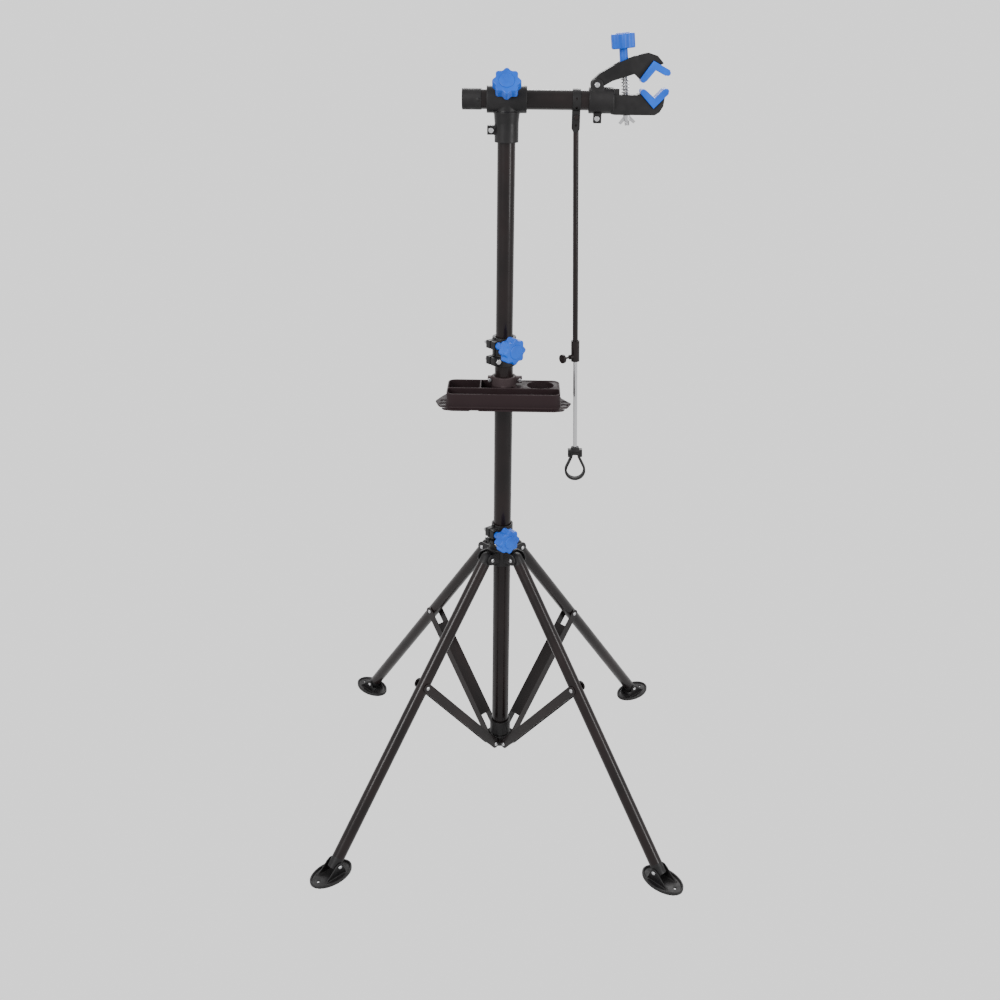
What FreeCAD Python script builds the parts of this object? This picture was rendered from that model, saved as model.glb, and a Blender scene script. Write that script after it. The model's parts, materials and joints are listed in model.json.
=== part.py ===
"""Folding bike repair stand: four-legged base, telescopic mast, tool tray and tube clamp."""
import FreeCAD, Part

import math
import os

import Sketcher
from FreeCAD import Placement, Rotation, Vector

# Driving sizes in millimetres. Heights are above the floor, the mast's axis is the Z axis,
# the clamp arm points along +X and the tray's front faces -Y.
SIZES = {
    "lower_od": (35, "lower mast tube, outside"),
    "upper_od": (32, "upper mast tube, outside"),
    "arm_od": (34, "clamp arm tube, outside"),
    "mast_wall": (1.2, "wall of the mast tubes"),
    "arm_wall": (1.5, "wall of the arm tube"),
    "slide_gap": (0.3, "gap all round a piece that slides or turns"),
    "seat_gap": (0.05, "gap all round a piece that is seated for good"),
    "pin_gap": (0.06, "gap all round a hinge pin"),
    "leg_od": (25, "leg tube, outside"),
    "leg_wall": (1.2, "wall of the leg tube"),
    "foot_circle": (448.5, "foot pivots from the mast's axis"),
    "foot_pivot_up": (22, "foot pivots above the floor"),
    "hub_room": (12.4, "hub between the lower tube and a leg"),
    "hub_up": (552.5, "leg pivots above the floor"),
    "base_tuck": (4, "lower strut pivots short of a leg's half width from the lower tube"),
    "base_up": (98, "lower strut pivots above the floor"),
    "strut_share": (0.425, "share of the leg that lies above the strut's pivot"),
    "strut_wall": (1.5, "sheet of the strut channel"),
    "strut_deep": (19, "side of the strut channel"),
    "rivet_od": (5, "rivet shanks of the folding base"),
    "rivet_head": (8.4, "rivet heads of the folding base"),
    "hub_wall": (3.7, "wall of the sliding leg hub's grip"),
    "hub_high": (52, "grip part of the leg hub"),
    "ear_wall": (4, "ears that hold the legs"),
    "collar_wall": (4.95, "wall of the mast clamp collar at the lower tube"),
    "collar_low": (951, "underside of the mast clamp collar"),
    "collar_high": (55, "height of the mast clamp collar"),
    "lower_top": (977, "top end of the lower mast tube"),
    "upper_inside": (400, "upper mast tube hidden in the lower one"),
    "arm_up": (1431, "axis of the clamp arm"),
    "tee_wall": (5.7, "wall of the tee's crosswise sleeve"),
    "tee_half": (35, "half length of the crosswise sleeve"),
    "tee_drop": (72, "upright sleeve below the arm's axis"),
    "tee_neck_wall": (4.9, "wall of the tee's upright sleeve"),
    "arm_left": (78, "left end of the arm from the mast"),
    "arm_right": (178, "right end of the arm from the mast"),
    "cap_long": (34, "end cap of the arm"),
    "knob_od": (50, "star knobs of the mast"),
    "knob_thick": (21, "star knobs, thickness"),
    "stud_od": (6, "threaded studs of the star knobs"),
    "tray_low": (881, "underside of the tray's flange"),
    "tray_deep": (31, "tray rim above the flange's underside"),
    "tray_half": (107, "half width of the tray box"),
    "tray_front": (65, "front of the tray box from the mast's axis"),
    "tray_back": (25, "back of the tray box from the mast's axis"),
    "tray_wall": (2.5, "walls of the tray"),
    "cup_od": (50, "round tool hole in the tray"),
    "wing_reach": (132, "tray wings from the mast's axis"),
    "sleeve_left": (142, "near end of the clamp's sleeve"),
    "sleeve_wall": (4.95, "wall of the clamp's sleeve"),
    "jaw_pivot_x": (155, "jaw hinge from the mast's axis"),
    "jaw_pivot_up": (9, "jaw hinge above the arm's top"),
    "jaw_half": (14, "half width of the fixed jaw"),
    "pad_half": (17, "half width of the clamp pads"),
    "pad_thick": (10, "thickness of the clamp pads"),
    "screw_od": (8, "clamp screw"),
    "screw_x": (206.6, "clamp screw from the mast's axis, at the arm's axis"),
    "screw_lean": (5.8, "lean of the clamp screw towards the mast, degrees"),
    "clamp_knob_od": (44, "clamp knob"),
    "hanger_x": (121, "handlebar rod hanger from the mast's axis"),
    "strap_wide": (14, "perforated hanger strap"),
    "strap_wall": (1.5, "sheet of the hanger strap"),
    "hanger_drop": (28, "rod pivot below the arm's axis"),
    "rod_od": (10, "outer handlebar rod"),
    "rod_long": (404, "outer handlebar rod below its pivot"),
    "socket_od": (16, "socket of the handlebar rod"),
    "socket_long": (40, "length of that socket"),
    "inner_od": (8, "inner handlebar rod"),
    "inner_out": (178, "inner rod showing below the socket"),
    "inner_hidden": (170, "inner rod hidden in the outer one"),
    "rod_lean": (1.85, "lean of the handlebar rod away from the mast, degrees"),
    "loop_od": (41, "handlebar loop, outside"),
    "loop_wall": (4.5, "thickness of the handlebar loop"),
    "loop_wide": (12, "width of the handlebar loop"),
    "pad_long": (92, "foot pad along the leg"),
    "pad_wide": (58, "foot pad across the leg"),
    "foot_hole": (5, "screw hole in the foot pad"),
    "foot_hole_out": (42, "screw hole outside the foot pivot"),
}

LEGS = {"front_left": -135, "front_right": -45, "rear_right": 45, "rear_left": 135}
UP = Vector(0, 0, 1)
ACROSS = Vector(1, 0, 0)
BACK = Vector(0, 1, 0)
GRIP_ANGLE = 220.5     # direction of the pinch ears about the mast
KNOB_PITCH = 35        # tee knob above the horizontal
THUMB_ANGLE = 217      # direction of the thumb screw about its rod
STUD_TAIL = 6

doc = FreeCAD.newDocument("BikeRepairStand")
sheet = doc.addObject("Spreadsheet::Sheet", "Sizes")
nodes = []


class Size:
    """A number that remembers the sheet formula it came from."""

    def __init__(self, number, text):
        self.number = number
        self.text = text

    def __float__(self):
        return float(self.number)

    def __add__(self, other):
        return combine(self, other, "+", float(self) + float(other))

    def __radd__(self, other):
        return combine(other, self, "+", float(other) + float(self))

    def __sub__(self, other):
        return combine(self, other, "-", float(self) - float(other))

    def __rsub__(self, other):
        return combine(other, self, "-", float(other) - float(self))

    def __mul__(self, other):
        return combine(self, other, "*", float(self) * float(other))

    def __rmul__(self, other):
        return combine(other, self, "*", float(other) * float(self))

    def __truediv__(self, other):
        return combine(self, other, "/", float(self) / float(other))

    def __neg__(self):
        return 0 - self


def as_text(number):
    return number.text if isinstance(number, Size) else repr(float(number))


def combine(left, right, sign, number):
    return Size(number, "(" + as_text(left) + " " + sign + " " + as_text(right) + ")")


def hypot(one, other):
    return Size(math.hypot(float(one), float(other)),
                "sqrt(" + as_text(one) + "^2 + " + as_text(other) + "^2)")


def fill_sheet():
    """Write every driving size into the sheet and give it back as a Size."""
    sizes = {}
    for row, (name, (number, note)) in enumerate(SIZES.items(), start=1):
        sheet.set("A" + str(row), note)
        sheet.set("B" + str(row), str(number))
        sheet.setAlias("B" + str(row), name)
    doc.recompute()
    for name in SIZES:
        sizes[name] = Size(float(sheet.get(name)), "Sizes." + name)
    return sizes


S = fill_sheet()


def bind(item, prop, size):
    """Tie a property to the sheet, or set it where it is a plain number."""
    if isinstance(size, Size):
        item.setExpression(prop, size.text)
    else:
        setattr(item, prop, float(size))


def put(item, at, rotation=None):
    """Place an item, its base point tied to the sheet."""
    item.Placement = Placement(Vector(*[float(value) for value in at]), rotation or Rotation())
    for letter, value in zip("xyz", at):
        if isinstance(value, Size):
            item.setExpression("Placement.Base." + letter, value.text)
    return item


def towards(axis):
    return Rotation(UP, axis)


def cylinder(diameter, height, at=(0, 0, 0), axis=UP):
    item = doc.addObject("Part::Cylinder", "Cylinder")
    bind(item, "Radius", diameter / 2)
    bind(item, "Height", height)
    return put(item, at, towards(axis))


def cone(diameter, end_diameter, height, at=(0, 0, 0), axis=UP):
    item = doc.addObject("Part::Cone", "Cone")
    bind(item, "Radius1", diameter / 2)
    bind(item, "Radius2", end_diameter / 2)
    bind(item, "Height", height)
    return put(item, at, towards(axis))


def ball(diameter, at=(0, 0, 0)):
    item = doc.addObject("Part::Sphere", "Ball")
    bind(item, "Radius", diameter / 2)
    return put(item, at)


def box(long, wide, high, at):
    """A box whose base point is the middle of its underside's left edge."""
    item = doc.addObject("Part::Box", "Box")
    bind(item, "Length", long)
    bind(item, "Width", wide)
    bind(item, "Height", high)
    return put(item, (at[0], at[1] - wide / 2, at[2]))


def hexagon(across, height, at, axis=UP):
    item = doc.addObject("Part::Prism", "Hexagon")
    item.Polygon = 6
    bind(item, "Circumradius", across / math.sqrt(3))
    bind(item, "Height", height)
    return put(item, at, towards(axis))


def fuse(*items):
    item = doc.addObject("Part::MultiFuse", "Joined")
    item.Shapes = list(items)
    item.Refine = True
    return item


def cut(base, *tools):
    item = doc.addObject("Part::Cut", "Cut")
    item.Base = base
    item.Tool = tools[0] if len(tools) == 1 else fuse(*tools)
    item.Refine = True
    return item


def group(*items):
    """Separate solids of one node."""
    item = doc.addObject("Part::Compound", "Group")
    item.Links = list(items)
    return item


def tube(outside, inside, height, at=(0, 0, 0), axis=UP):
    return cut(cylinder(outside, height, at, axis), cylinder(inside, height, at, axis))


def origin_plane(body, role):
    return next(plane for plane in body.Origin.OriginFeatures if plane.Role == role)


def new_sketch(body, role):
    sketch = body.newObject("Sketcher::SketchObject", "Outline")
    sketch.AttachmentSupport = (origin_plane(body, role), [""])
    sketch.MapMode = "FlatFace"
    return sketch


def tie_point(sketch, line, points_index, prop, value):
    kind = "DistanceX" if prop == "x" else "DistanceY"
    number = float(value)
    index = sketch.addConstraint(Sketcher.Constraint(kind, -1, 1, line, points_index, number))
    if isinstance(value, Size):
        name = prop + str(line)
        sketch.renameConstraint(index, name)
        sketch.setExpression("Constraints." + name, value.text)


def plate(points, thickness, role="XZ_Plane"):
    """A flat piece of the given corners, half its thickness to each side of the plane."""
    body = doc.addObject("PartDesign::Body", "Plate")
    sketch = new_sketch(body, role)
    corners = [Vector(float(x), float(y), 0) for x, y in points]
    for start, end in zip(corners, corners[1:] + corners[:1]):
        sketch.addGeometry(Part.LineSegment(start, end))
    for line in range(len(points)):
        following = (line + 1) % len(points)
        sketch.addConstraint(Sketcher.Constraint("Coincident", line, 2, following, 1))
    for line, (x, y) in enumerate(points):
        tie_point(sketch, line, 1, "x", x)
        tie_point(sketch, line, 1, "y", y)
    pad = body.newObject("PartDesign::Pad", "Pad")
    pad.Profile = sketch
    pad.SideType = "Symmetric"
    bind(pad, "Length", thickness)
    return body


def circle_sketch(body, diameter, away=0):
    sketch = new_sketch(body, "XY_Plane")
    sketch.addGeometry(Part.Circle(Vector(float(away), 0, 0), UP, float(diameter) / 2))
    sketch.addConstraint(Sketcher.Constraint("PointOnObject", 0, 3, -1))
    gap = sketch.addConstraint(Sketcher.Constraint("DistanceX", -1, 1, 0, 3, float(away)))
    width = sketch.addConstraint(Sketcher.Constraint("Diameter", 0, float(diameter)))
    sketch.renameConstraint(gap, "away")
    sketch.renameConstraint(width, "width")
    if isinstance(away, Size):
        sketch.setExpression("Constraints.away", away.text)
    sketch.setExpression("Constraints.width", as_text(diameter))
    return sketch


def star(diameter, thickness, lobes):
    """A star knob's head: a disc with round scallops between its lobes."""
    body = doc.addObject("PartDesign::Body", "Star")
    pad = body.newObject("PartDesign::Pad", "Disc")
    pad.Profile = circle_sketch(body, diameter)
    bind(pad, "Length", thickness)
    doc.recompute()
    scallop = body.newObject("PartDesign::Pocket", "Scallop")
    scallop.Profile = circle_sketch(body, diameter * 0.2, diameter * 0.54)
    scallop.Type = "ThroughAll"
    scallop.Reversed = True
    doc.recompute()
    pattern = body.newObject("PartDesign::PolarPattern", "Scallops")
    pattern.Originals = [scallop]
    pattern.Axis = (circle_axis(body), [""])
    pattern.Angle = 360
    pattern.Occurrences = lobes
    body.Tip = pattern
    doc.recompute()
    if pattern.Shape.Volume >= scallop.Shape.Volume:
        raise RuntimeError("the star knob's scallops cut nothing")
    return body


def circle_axis(body):
    return next(axis for axis in body.Origin.OriginFeatures if axis.Role == "Z_Axis")


def add_node(item, label, place=None):
    """Name a finished sub-part and give it its place."""
    item.Label = label
    if place is not None:
        item.Placement = place
    nodes.append(item)
    return item


def turned(angle):
    return Placement(Vector(), Rotation(UP, angle))


def at_angle(angle, radius, height, tilt=0):
    """A frame out along a direction about the mast, tilted about its own cross axis."""
    upright = Placement(Vector(float(radius), 0, float(height)), Rotation(BACK, float(tilt)))
    return turned(angle).multiply(upright)


# ---------------------------------------------------------------- folding base

HUB_CIRCLE = S["lower_od"] / 2 + S["leg_od"] / 2 + S["hub_room"]
BASE_CIRCLE = S["lower_od"] / 2 + S["leg_od"] / 2 - S["base_tuck"]
LEG_RUN = S["foot_circle"] - HUB_CIRCLE
LEG_RISE = S["hub_up"] - S["foot_pivot_up"]
LEG_LONG = hypot(LEG_RUN, LEG_RISE)
LEG_TILT = math.degrees(math.atan2(float(LEG_RUN), float(LEG_RISE)))
STRUT_RUN = HUB_CIRCLE + LEG_RUN * S["strut_share"] - BASE_CIRCLE
STRUT_RISE = S["hub_up"] - LEG_RISE * S["strut_share"] - S["base_up"]
STRUT_LONG = hypot(STRUT_RUN, STRUT_RISE)
STRUT_TILT = math.degrees(math.atan2(float(STRUT_RUN), float(STRUT_RISE)))

RIVET_HOLE = S["rivet_od"] + 2 * S["pin_gap"]
HEAD_HIGH = 2.2
LEG_SLOT = S["leg_od"] + 4 * S["slide_gap"]
STRUT_INNER = S["leg_od"] + 1
STRUT_OUTER = STRUT_INNER + 2 * S["strut_wall"]
ARM_BLOCK = STRUT_INNER - 1
PLUG_HEAD = 14
PLUG_TAIL = 24
FOOT_TAIL = 8


def cross_rivet(grip, up_to=0, along=0):
    """A rivet across a joint: shank and two low round heads outside the grip."""
    half = grip / 2
    shank = cylinder(S["rivet_od"], grip, (along, -half, up_to), BACK)
    far_head = cone(S["rivet_head"], S["rivet_head"] * 0.6, HEAD_HIGH, (along, half, up_to), BACK)
    near_head = cone(S["rivet_head"], S["rivet_head"] * 0.6, HEAD_HIGH, (along, -half, up_to), -BACK)
    return fuse(shank, far_head, near_head)


def cross_hole(diameter, width, at):
    return cylinder(diameter, width, (at[0], at[1] - width / 2, at[2]), BACK)


def leg_tube(side, angle):
    """Steel leg tube, open at both ends, which the plugs close."""
    long = LEG_LONG - PLUG_HEAD - PLUG_HEAD
    item = tube(S["leg_od"], S["leg_od"] - 2 * S["leg_wall"], long, (0, 0, PLUG_HEAD))
    add_node(item, "leg_tube_" + side, leg_frame(angle))


def leg_frame(angle):
    return at_angle(angle, HUB_CIRCLE, S["hub_up"], 180 - LEG_TILT)


def leg_plugs(side, angle):
    """Moulded ends of a leg: a round one at the hub and a stub at the foot."""
    spigot = S["leg_od"] - 2 * S["leg_wall"] - 2 * S["seat_gap"]
    top = fuse(ball(S["leg_od"]),
               cylinder(S["leg_od"], PLUG_HEAD),
               cylinder(spigot, PLUG_TAIL, (0, 0, PLUG_HEAD)))
    stub_long = PLUG_HEAD + FOOT_TAIL
    foot_end = LEG_LONG - PLUG_HEAD
    stub = fuse(cylinder(S["leg_od"], stub_long, (0, 0, foot_end)),
                cylinder(spigot, PLUG_TAIL, (0, 0, foot_end - PLUG_TAIL)))
    item = group(cut(top, cross_hole(RIVET_HOLE, 2 * S["leg_od"], (0, 0, 0))),
                 cut(stub, cross_hole(RIVET_HOLE, 2 * S["leg_od"], (0, 0, LEG_LONG))))
    add_node(item, "leg_plugs_" + side, leg_frame(angle))


FOOT_SLOT = S["leg_od"] + 4 * S["slide_gap"]
FOOT_EAR_WALL = 2.5
FOOT_RIM = 7


def foot(side, angle):
    """Oval foot pad with a raised rim and the two ears that hold the leg."""
    floor = -S["foot_pivot_up"]
    ahead = S["pad_long"] / 8
    pad = oval(S["pad_long"], S["pad_wide"], FOOT_RIM, (ahead, 0, floor))
    dish = oval(S["pad_long"] - 8, S["pad_wide"] - 8, FOOT_RIM, (ahead, 0, floor + 3.5))
    ear_width = FOOT_SLOT + 2 * FOOT_EAR_WALL
    base = 3 - S["foot_pivot_up"]
    ears = fuse(cross_hole(17, ear_width, (0, 0, 0)),
                plate([(-14, base), (-8.5, 0), (0, 8.5), (9, 4.5), (22, -8), (36, base)], ear_width))
    gap = box(120, FOOT_SLOT, 60, (-60, 0, base + 0.5))
    hole = cylinder(S["foot_hole"], 20, (S["foot_hole_out"], 0, floor - 1))
    solid = fuse(cut(pad, dish), cut(ears, gap))
    item = cut(solid, hole, cross_hole(RIVET_HOLE, 2 * ear_width, (0, 0, 0)))
    add_node(item, "foot_" + side, at_angle(angle, S["foot_circle"], S["foot_pivot_up"]))


def oval(long, wide, high, at):
    outline = doc.addObject("Part::Ellipse", "Oval")
    bind(outline, "MajorRadius", long / 2)
    bind(outline, "MinorRadius", wide / 2)
    put(outline, at)
    item = doc.addObject("Part::Extrusion", "OvalBlock")
    item.Base = outline
    item.DirMode = "Custom"
    item.Dir = UP
    item.Solid = True
    bind(item, "LengthFwd", high)
    return item


def foot_rivet(side, angle):
    grip = FOOT_SLOT + 2 * FOOT_EAR_WALL + 2 * S["slide_gap"]
    add_node(cross_rivet(grip), "foot_rivet_" + side,
             at_angle(angle, S["foot_circle"], S["foot_pivot_up"]))


WEB_LOW_CUT = 42
WEB_HIGH_CUT = 34


def strut(side, angle):
    """Folded channel whose open side takes the leg as the base folds."""
    deep = S["strut_deep"]
    half = deep / 2
    block = box(deep, STRUT_OUTER, STRUT_LONG, (-half, 0, 0))
    ends = [cross_hole(deep, STRUT_OUTER, (0, 0, height)) for height in (0, STRUT_LONG)]
    room = box(2 * deep, STRUT_INNER, 2 * STRUT_LONG, (S["strut_wall"] - half, 0, -STRUT_LONG / 2))
    low_gap = box(2 * deep, STRUT_INNER, WEB_LOW_CUT + deep, (-deep, 0, -deep))
    high_gap = box(2 * deep, STRUT_INNER, WEB_HIGH_CUT + deep, (-deep, 0, STRUT_LONG - WEB_HIGH_CUT))
    holes = [cross_hole(RIVET_HOLE, 2 * STRUT_OUTER, (0, 0, height)) for height in (0, STRUT_LONG)]
    item = cut(fuse(block, *ends), room, low_gap, high_gap, *holes)
    add_node(item, "strut_" + side, at_angle(angle, BASE_CIRCLE, S["base_up"], STRUT_TILT))


CAP_OD = 20
CAP_HIGH = 4


def strut_rivets(side, angle):
    """A steel rivet in the strut's near wall and a domed cap on its far wall."""
    near = -1 if "right" in side else 1
    inner = near * STRUT_INNER / 2
    outer = near * STRUT_OUTER / 2
    shank = S["strut_wall"]
    rivet = fuse(cylinder(S["rivet_od"], shank, (0, inner, STRUT_LONG), near * BACK),
                 cone(S["rivet_head"], S["rivet_head"] * 0.6, HEAD_HIGH,
                      (0, outer, STRUT_LONG), near * BACK))
    cap = fuse(cylinder(S["rivet_od"], shank, (0, -inner, STRUT_LONG), -near * BACK),
               cone(CAP_OD, CAP_OD * 0.8, CAP_HIGH, (0, -outer, STRUT_LONG), -near * BACK))
    add_node(group(rivet, cap), "strut_rivets_" + side,
             at_angle(angle, BASE_CIRCLE, S["base_up"], STRUT_TILT))


BASE_SEAT = S["base_up"] + 14
BASE_RING_HIGH = 34
BASE_RING_OD = S["lower_od"] + 9


def around(angles, make):
    """One copy of a piece for each direction about the mast."""
    copies = []
    for angle in angles:
        item = group(make())
        item.Placement = turned(angle)
        copies.append(item)
    return copies


def base_block():
    arm = S["base_up"] - 8.5
    return fuse(box(BASE_CIRCLE, ARM_BLOCK, 17, (0, 0, arm)),
                cross_hole(17, ARM_BLOCK, (BASE_CIRCLE, 0, S["base_up"])))


def base_collar():
    """Fixed collar at the mast's foot: a socket for the tube above a cross of strut blocks."""
    core = cylinder(S["lower_od"], 29, (0, 0, S["base_up"] - 14))
    skirt = cone(S["lower_od"], BASE_RING_OD, 6, (0, 0, BASE_SEAT - 2))
    ring = cylinder(BASE_RING_OD, BASE_RING_HIGH - 4, (0, 0, BASE_SEAT + 4))
    holes = around(LEGS.values(), base_rivet_hole)
    socket = cylinder(S["lower_od"] + 2 * S["seat_gap"], BASE_RING_HIGH + 1, (0, 0, BASE_SEAT))
    item = cut(fuse(core, skirt, ring, *around(LEGS.values(), base_block)), socket, *holes)
    add_node(item, "base_collar")


def base_rivet_hole():
    return cross_hole(RIVET_HOLE, 2 * STRUT_OUTER, (BASE_CIRCLE, 0, S["base_up"]))


def base_rivets():
    grip = STRUT_OUTER + 2 * S["slide_gap"]
    rivets = around(LEGS.values(), lambda: cross_rivet(grip, S["base_up"], BASE_CIRCLE))
    add_node(group(*rivets), "base_rivets")


def lower_tube():
    high = S["lower_top"] - BASE_SEAT
    item = tube(S["lower_od"], S["lower_od"] - 2 * S["mast_wall"], high, (0, 0, BASE_SEAT))
    add_node(item, "lower_tube")


# ---------------------------------------------------------------- pinch collars

BOLT_OUT = S["lower_od"] / 2 + 8.5
EAR_OUT = BOLT_OUT + 8
EAR_HALF = 13
COLLAR_OD = S["lower_od"] + 2 * S["seat_gap"] + 2 * S["collar_wall"]
HUB_OD = S["lower_od"] + 2 * S["slide_gap"] + 2 * S["hub_wall"]
SLIT = 2.4
NUT_HIGH = 5


def pinch_ear(low, high):
    return box(EAR_OUT, 2 * EAR_HALF, high, (0, 0, low))


def pinch_cuts(low, high, axes):
    """The slit between a collar's ears and the holes across them."""
    slit = box(EAR_OUT + 10, SLIT, high + 2, (5, 0, low - 1))
    hole = S["stud_od"] + 2 * S["pin_gap"]
    return [slit] + [cross_hole(hole, 4 * EAR_HALF, (BOLT_OUT, 0, axis)) for axis in axes]


def pinch_bolt(height):
    """Hex bolt across the lower ears, with its nut."""
    start = -EAR_HALF - NUT_HIGH - 1
    shank = cylinder(S["stud_od"], 2 * EAR_HALF + NUT_HIGH + 1, (BOLT_OUT, start, height), BACK)
    head = hexagon(10, 4, (BOLT_OUT, EAR_HALF, height), BACK)
    nut = hexagon(10, NUT_HIGH, (BOLT_OUT, -EAR_HALF - NUT_HIGH, height), BACK)
    return fuse(shank, head, nut)


def pinch_nut(height):
    """Trapped nut on the back of the upper ears, which the knob's stud runs through."""
    nut = hexagon(10, NUT_HIGH, (BOLT_OUT, -EAR_HALF - NUT_HIGH, height), BACK)
    return cut(nut, cross_hole(S["stud_od"] + 2 * S["pin_gap"], 60, (BOLT_OUT, 0, height)))


def star_knob(label, head_at, stem_at, stud_at, place, diameter=S["knob_od"], lobes=8):
    """Star knob along its own Z axis: stud, stem, lobed head and low crown."""
    thick = S["knob_thick"]
    head = star(diameter, thick, lobes)
    put(head, (0, 0, head_at))
    crown = cone(diameter * 0.64, diameter * 0.5, 3, (0, 0, head_at + thick))
    stem = cylinder(14, head_at - stem_at, (0, 0, stem_at))
    stud = cylinder(S["stud_od"], stem_at - stud_at, (0, 0, stud_at))
    add_node(fuse(head, crown, stem, stud), label, place)


def pinch_place(height):
    """Frame of a stud across the ears: Z runs along the stud, out of the front ear."""
    ears = turned(GRIP_ANGLE)
    return ears.multiply(Placement(Vector(float(BOLT_OUT), 0, float(height)), towards(BACK)))


MID_BOLT = S["collar_low"] + 12.5
MID_STUD = S["collar_low"] + 43.5
MID_KNOB_OUT = 44


def mid_collar():
    """Clamp collar on top of the lower tube: it grips the upper tube and carries two ears."""
    low = S["collar_low"]
    high = S["collar_high"]
    solid = fuse(cylinder(COLLAR_OD, high, (0, 0, low)),
                 pinch_ear(low + 5, 15),
                 pinch_ear(low + 36, 15))
    seat = cylinder(S["lower_od"] + 2 * S["seat_gap"], S["lower_top"] - low, (0, 0, low))
    guide = cylinder(S["upper_od"] + 2 * S["slide_gap"], high, (0, 0, low))
    item = cut(solid, seat, guide, *pinch_cuts(low, high, (MID_BOLT, MID_STUD)))
    add_node(item, "mid_collar", turned(GRIP_ANGLE))


def mid_collar_bolts():
    add_node(group(pinch_bolt(MID_BOLT), pinch_nut(MID_STUD)), "mid_collar_bolts", turned(GRIP_ANGLE))


def mid_knob():
    tail = -EAR_HALF - NUT_HIGH - STUD_TAIL
    star_knob("mid_knob", MID_KNOB_OUT, EAR_HALF + S["slide_gap"], tail, pinch_place(MID_STUD))


HUB_GRIP_LOW = S["hub_up"] + 13.5
HUB_BOLT = S["hub_up"] + 30.5
HUB_STUD = S["hub_up"] + 50
HUB_KNOB_OUT = 36
HUB_ARM_WIDE = LEG_SLOT + 2 * S["ear_wall"]


def hub_arm():
    """Block that becomes the two ears of one leg."""
    return fuse(box(HUB_CIRCLE, HUB_ARM_WIDE, 22, (0, 0, S["hub_up"] - 11)),
                cross_hole(22, HUB_ARM_WIDE, (HUB_CIRCLE, 0, S["hub_up"])))


def hub_slot():
    inner = HUB_CIRCLE - S["leg_od"] / 2 - 2 * S["slide_gap"]
    return box(40, LEG_SLOT, 60, (inner, 0, S["hub_up"] - 30))


def hub_hole():
    return cross_hole(RIVET_HOLE, 2 * HUB_ARM_WIDE, (HUB_CIRCLE, 0, S["hub_up"]))


def leg_hub():
    """Sliding hub: four pairs of leg ears below a pinch collar."""
    low = HUB_GRIP_LOW
    high = S["hub_high"]
    core_od = 2 * HUB_CIRCLE - S["leg_od"] - 6
    grip = cut(fuse(cylinder(HUB_OD, high, (0, 0, low)),
                    pinch_ear(low + 11, 12),
                    pinch_ear(low + 28, 18)),
               *pinch_cuts(low + 4, high, (HUB_BOLT, HUB_STUD)))
    grip.Placement = turned(GRIP_ANGLE)
    core = cylinder(core_od, 44, (0, 0, S["hub_up"] - 22))
    shoulder = cone(core_od, HUB_OD, 8, (0, 0, S["hub_up"] + 22))
    arms = around(LEGS.values(), hub_arm)
    slots = around(LEGS.values(), hub_slot)
    holes = around(LEGS.values(), hub_hole)
    bore = cylinder(S["lower_od"] + 2 * S["slide_gap"], 160, (0, 0, S["hub_up"] - 40))
    item = cut(fuse(grip, core, shoulder, *arms), bore, *slots, *holes)
    add_node(item, "leg_hub")


def hub_rivets():
    rivets = around(LEGS.values(),
                    lambda: cross_rivet(HUB_ARM_WIDE, S["hub_up"], HUB_CIRCLE))
    add_node(group(*rivets), "hub_rivets")


def hub_bolts():
    add_node(group(pinch_bolt(HUB_BOLT), pinch_nut(HUB_STUD)), "hub_bolts", turned(GRIP_ANGLE))


def hub_knob():
    tail = -EAR_HALF - NUT_HIGH - STUD_TAIL
    star_knob("hub_knob", HUB_KNOB_OUT, EAR_HALF + S["slide_gap"], tail, pinch_place(HUB_STUD))


# ---------------------------------------------------------------- upper mast and tee

UPPER_LOW = S["lower_top"] - S["upper_inside"]
UPPER_TOP = S["arm_up"] - S["arm_od"] / 2 - 9
GLIDE_HIGH = 12
TEE_LOW = S["arm_up"] - S["tee_drop"]
TEE_BOLT = TEE_LOW + 20.5
TEE_OD = S["arm_od"] + 2 * S["slide_gap"] + 2 * S["tee_wall"]
TEE_NECK_OD = S["upper_od"] + 2 * S["slide_gap"] + 2 * S["tee_neck_wall"]
TEE_BOLT_OUT = TEE_NECK_OD / 2 + 5.8
TEE_EAR_OUT = TEE_BOLT_OUT + 7
TEE_KNOB_OUT = TEE_OD / 2 + 15


def upper_tube():
    high = UPPER_TOP - UPPER_LOW
    item = tube(S["upper_od"], S["upper_od"] - 2 * S["mast_wall"], high, (0, 0, UPPER_LOW))
    add_node(item, "upper_tube")


def tube_glide():
    """Plastic glide plugged into the upper tube's hidden end."""
    glide_od = S["lower_od"] - 2 * S["mast_wall"] - 2 * S["slide_gap"]
    spigot = S["upper_od"] - 2 * S["mast_wall"] - 2 * S["seat_gap"]
    solid = fuse(cylinder(glide_od, GLIDE_HIGH, (0, 0, UPPER_LOW - GLIDE_HIGH)),
                 cylinder(spigot, 20, (0, 0, UPPER_LOW)))
    add_node(cut(solid, cylinder(20, 60, (0, 0, UPPER_LOW - 20))), "tube_glide")


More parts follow.
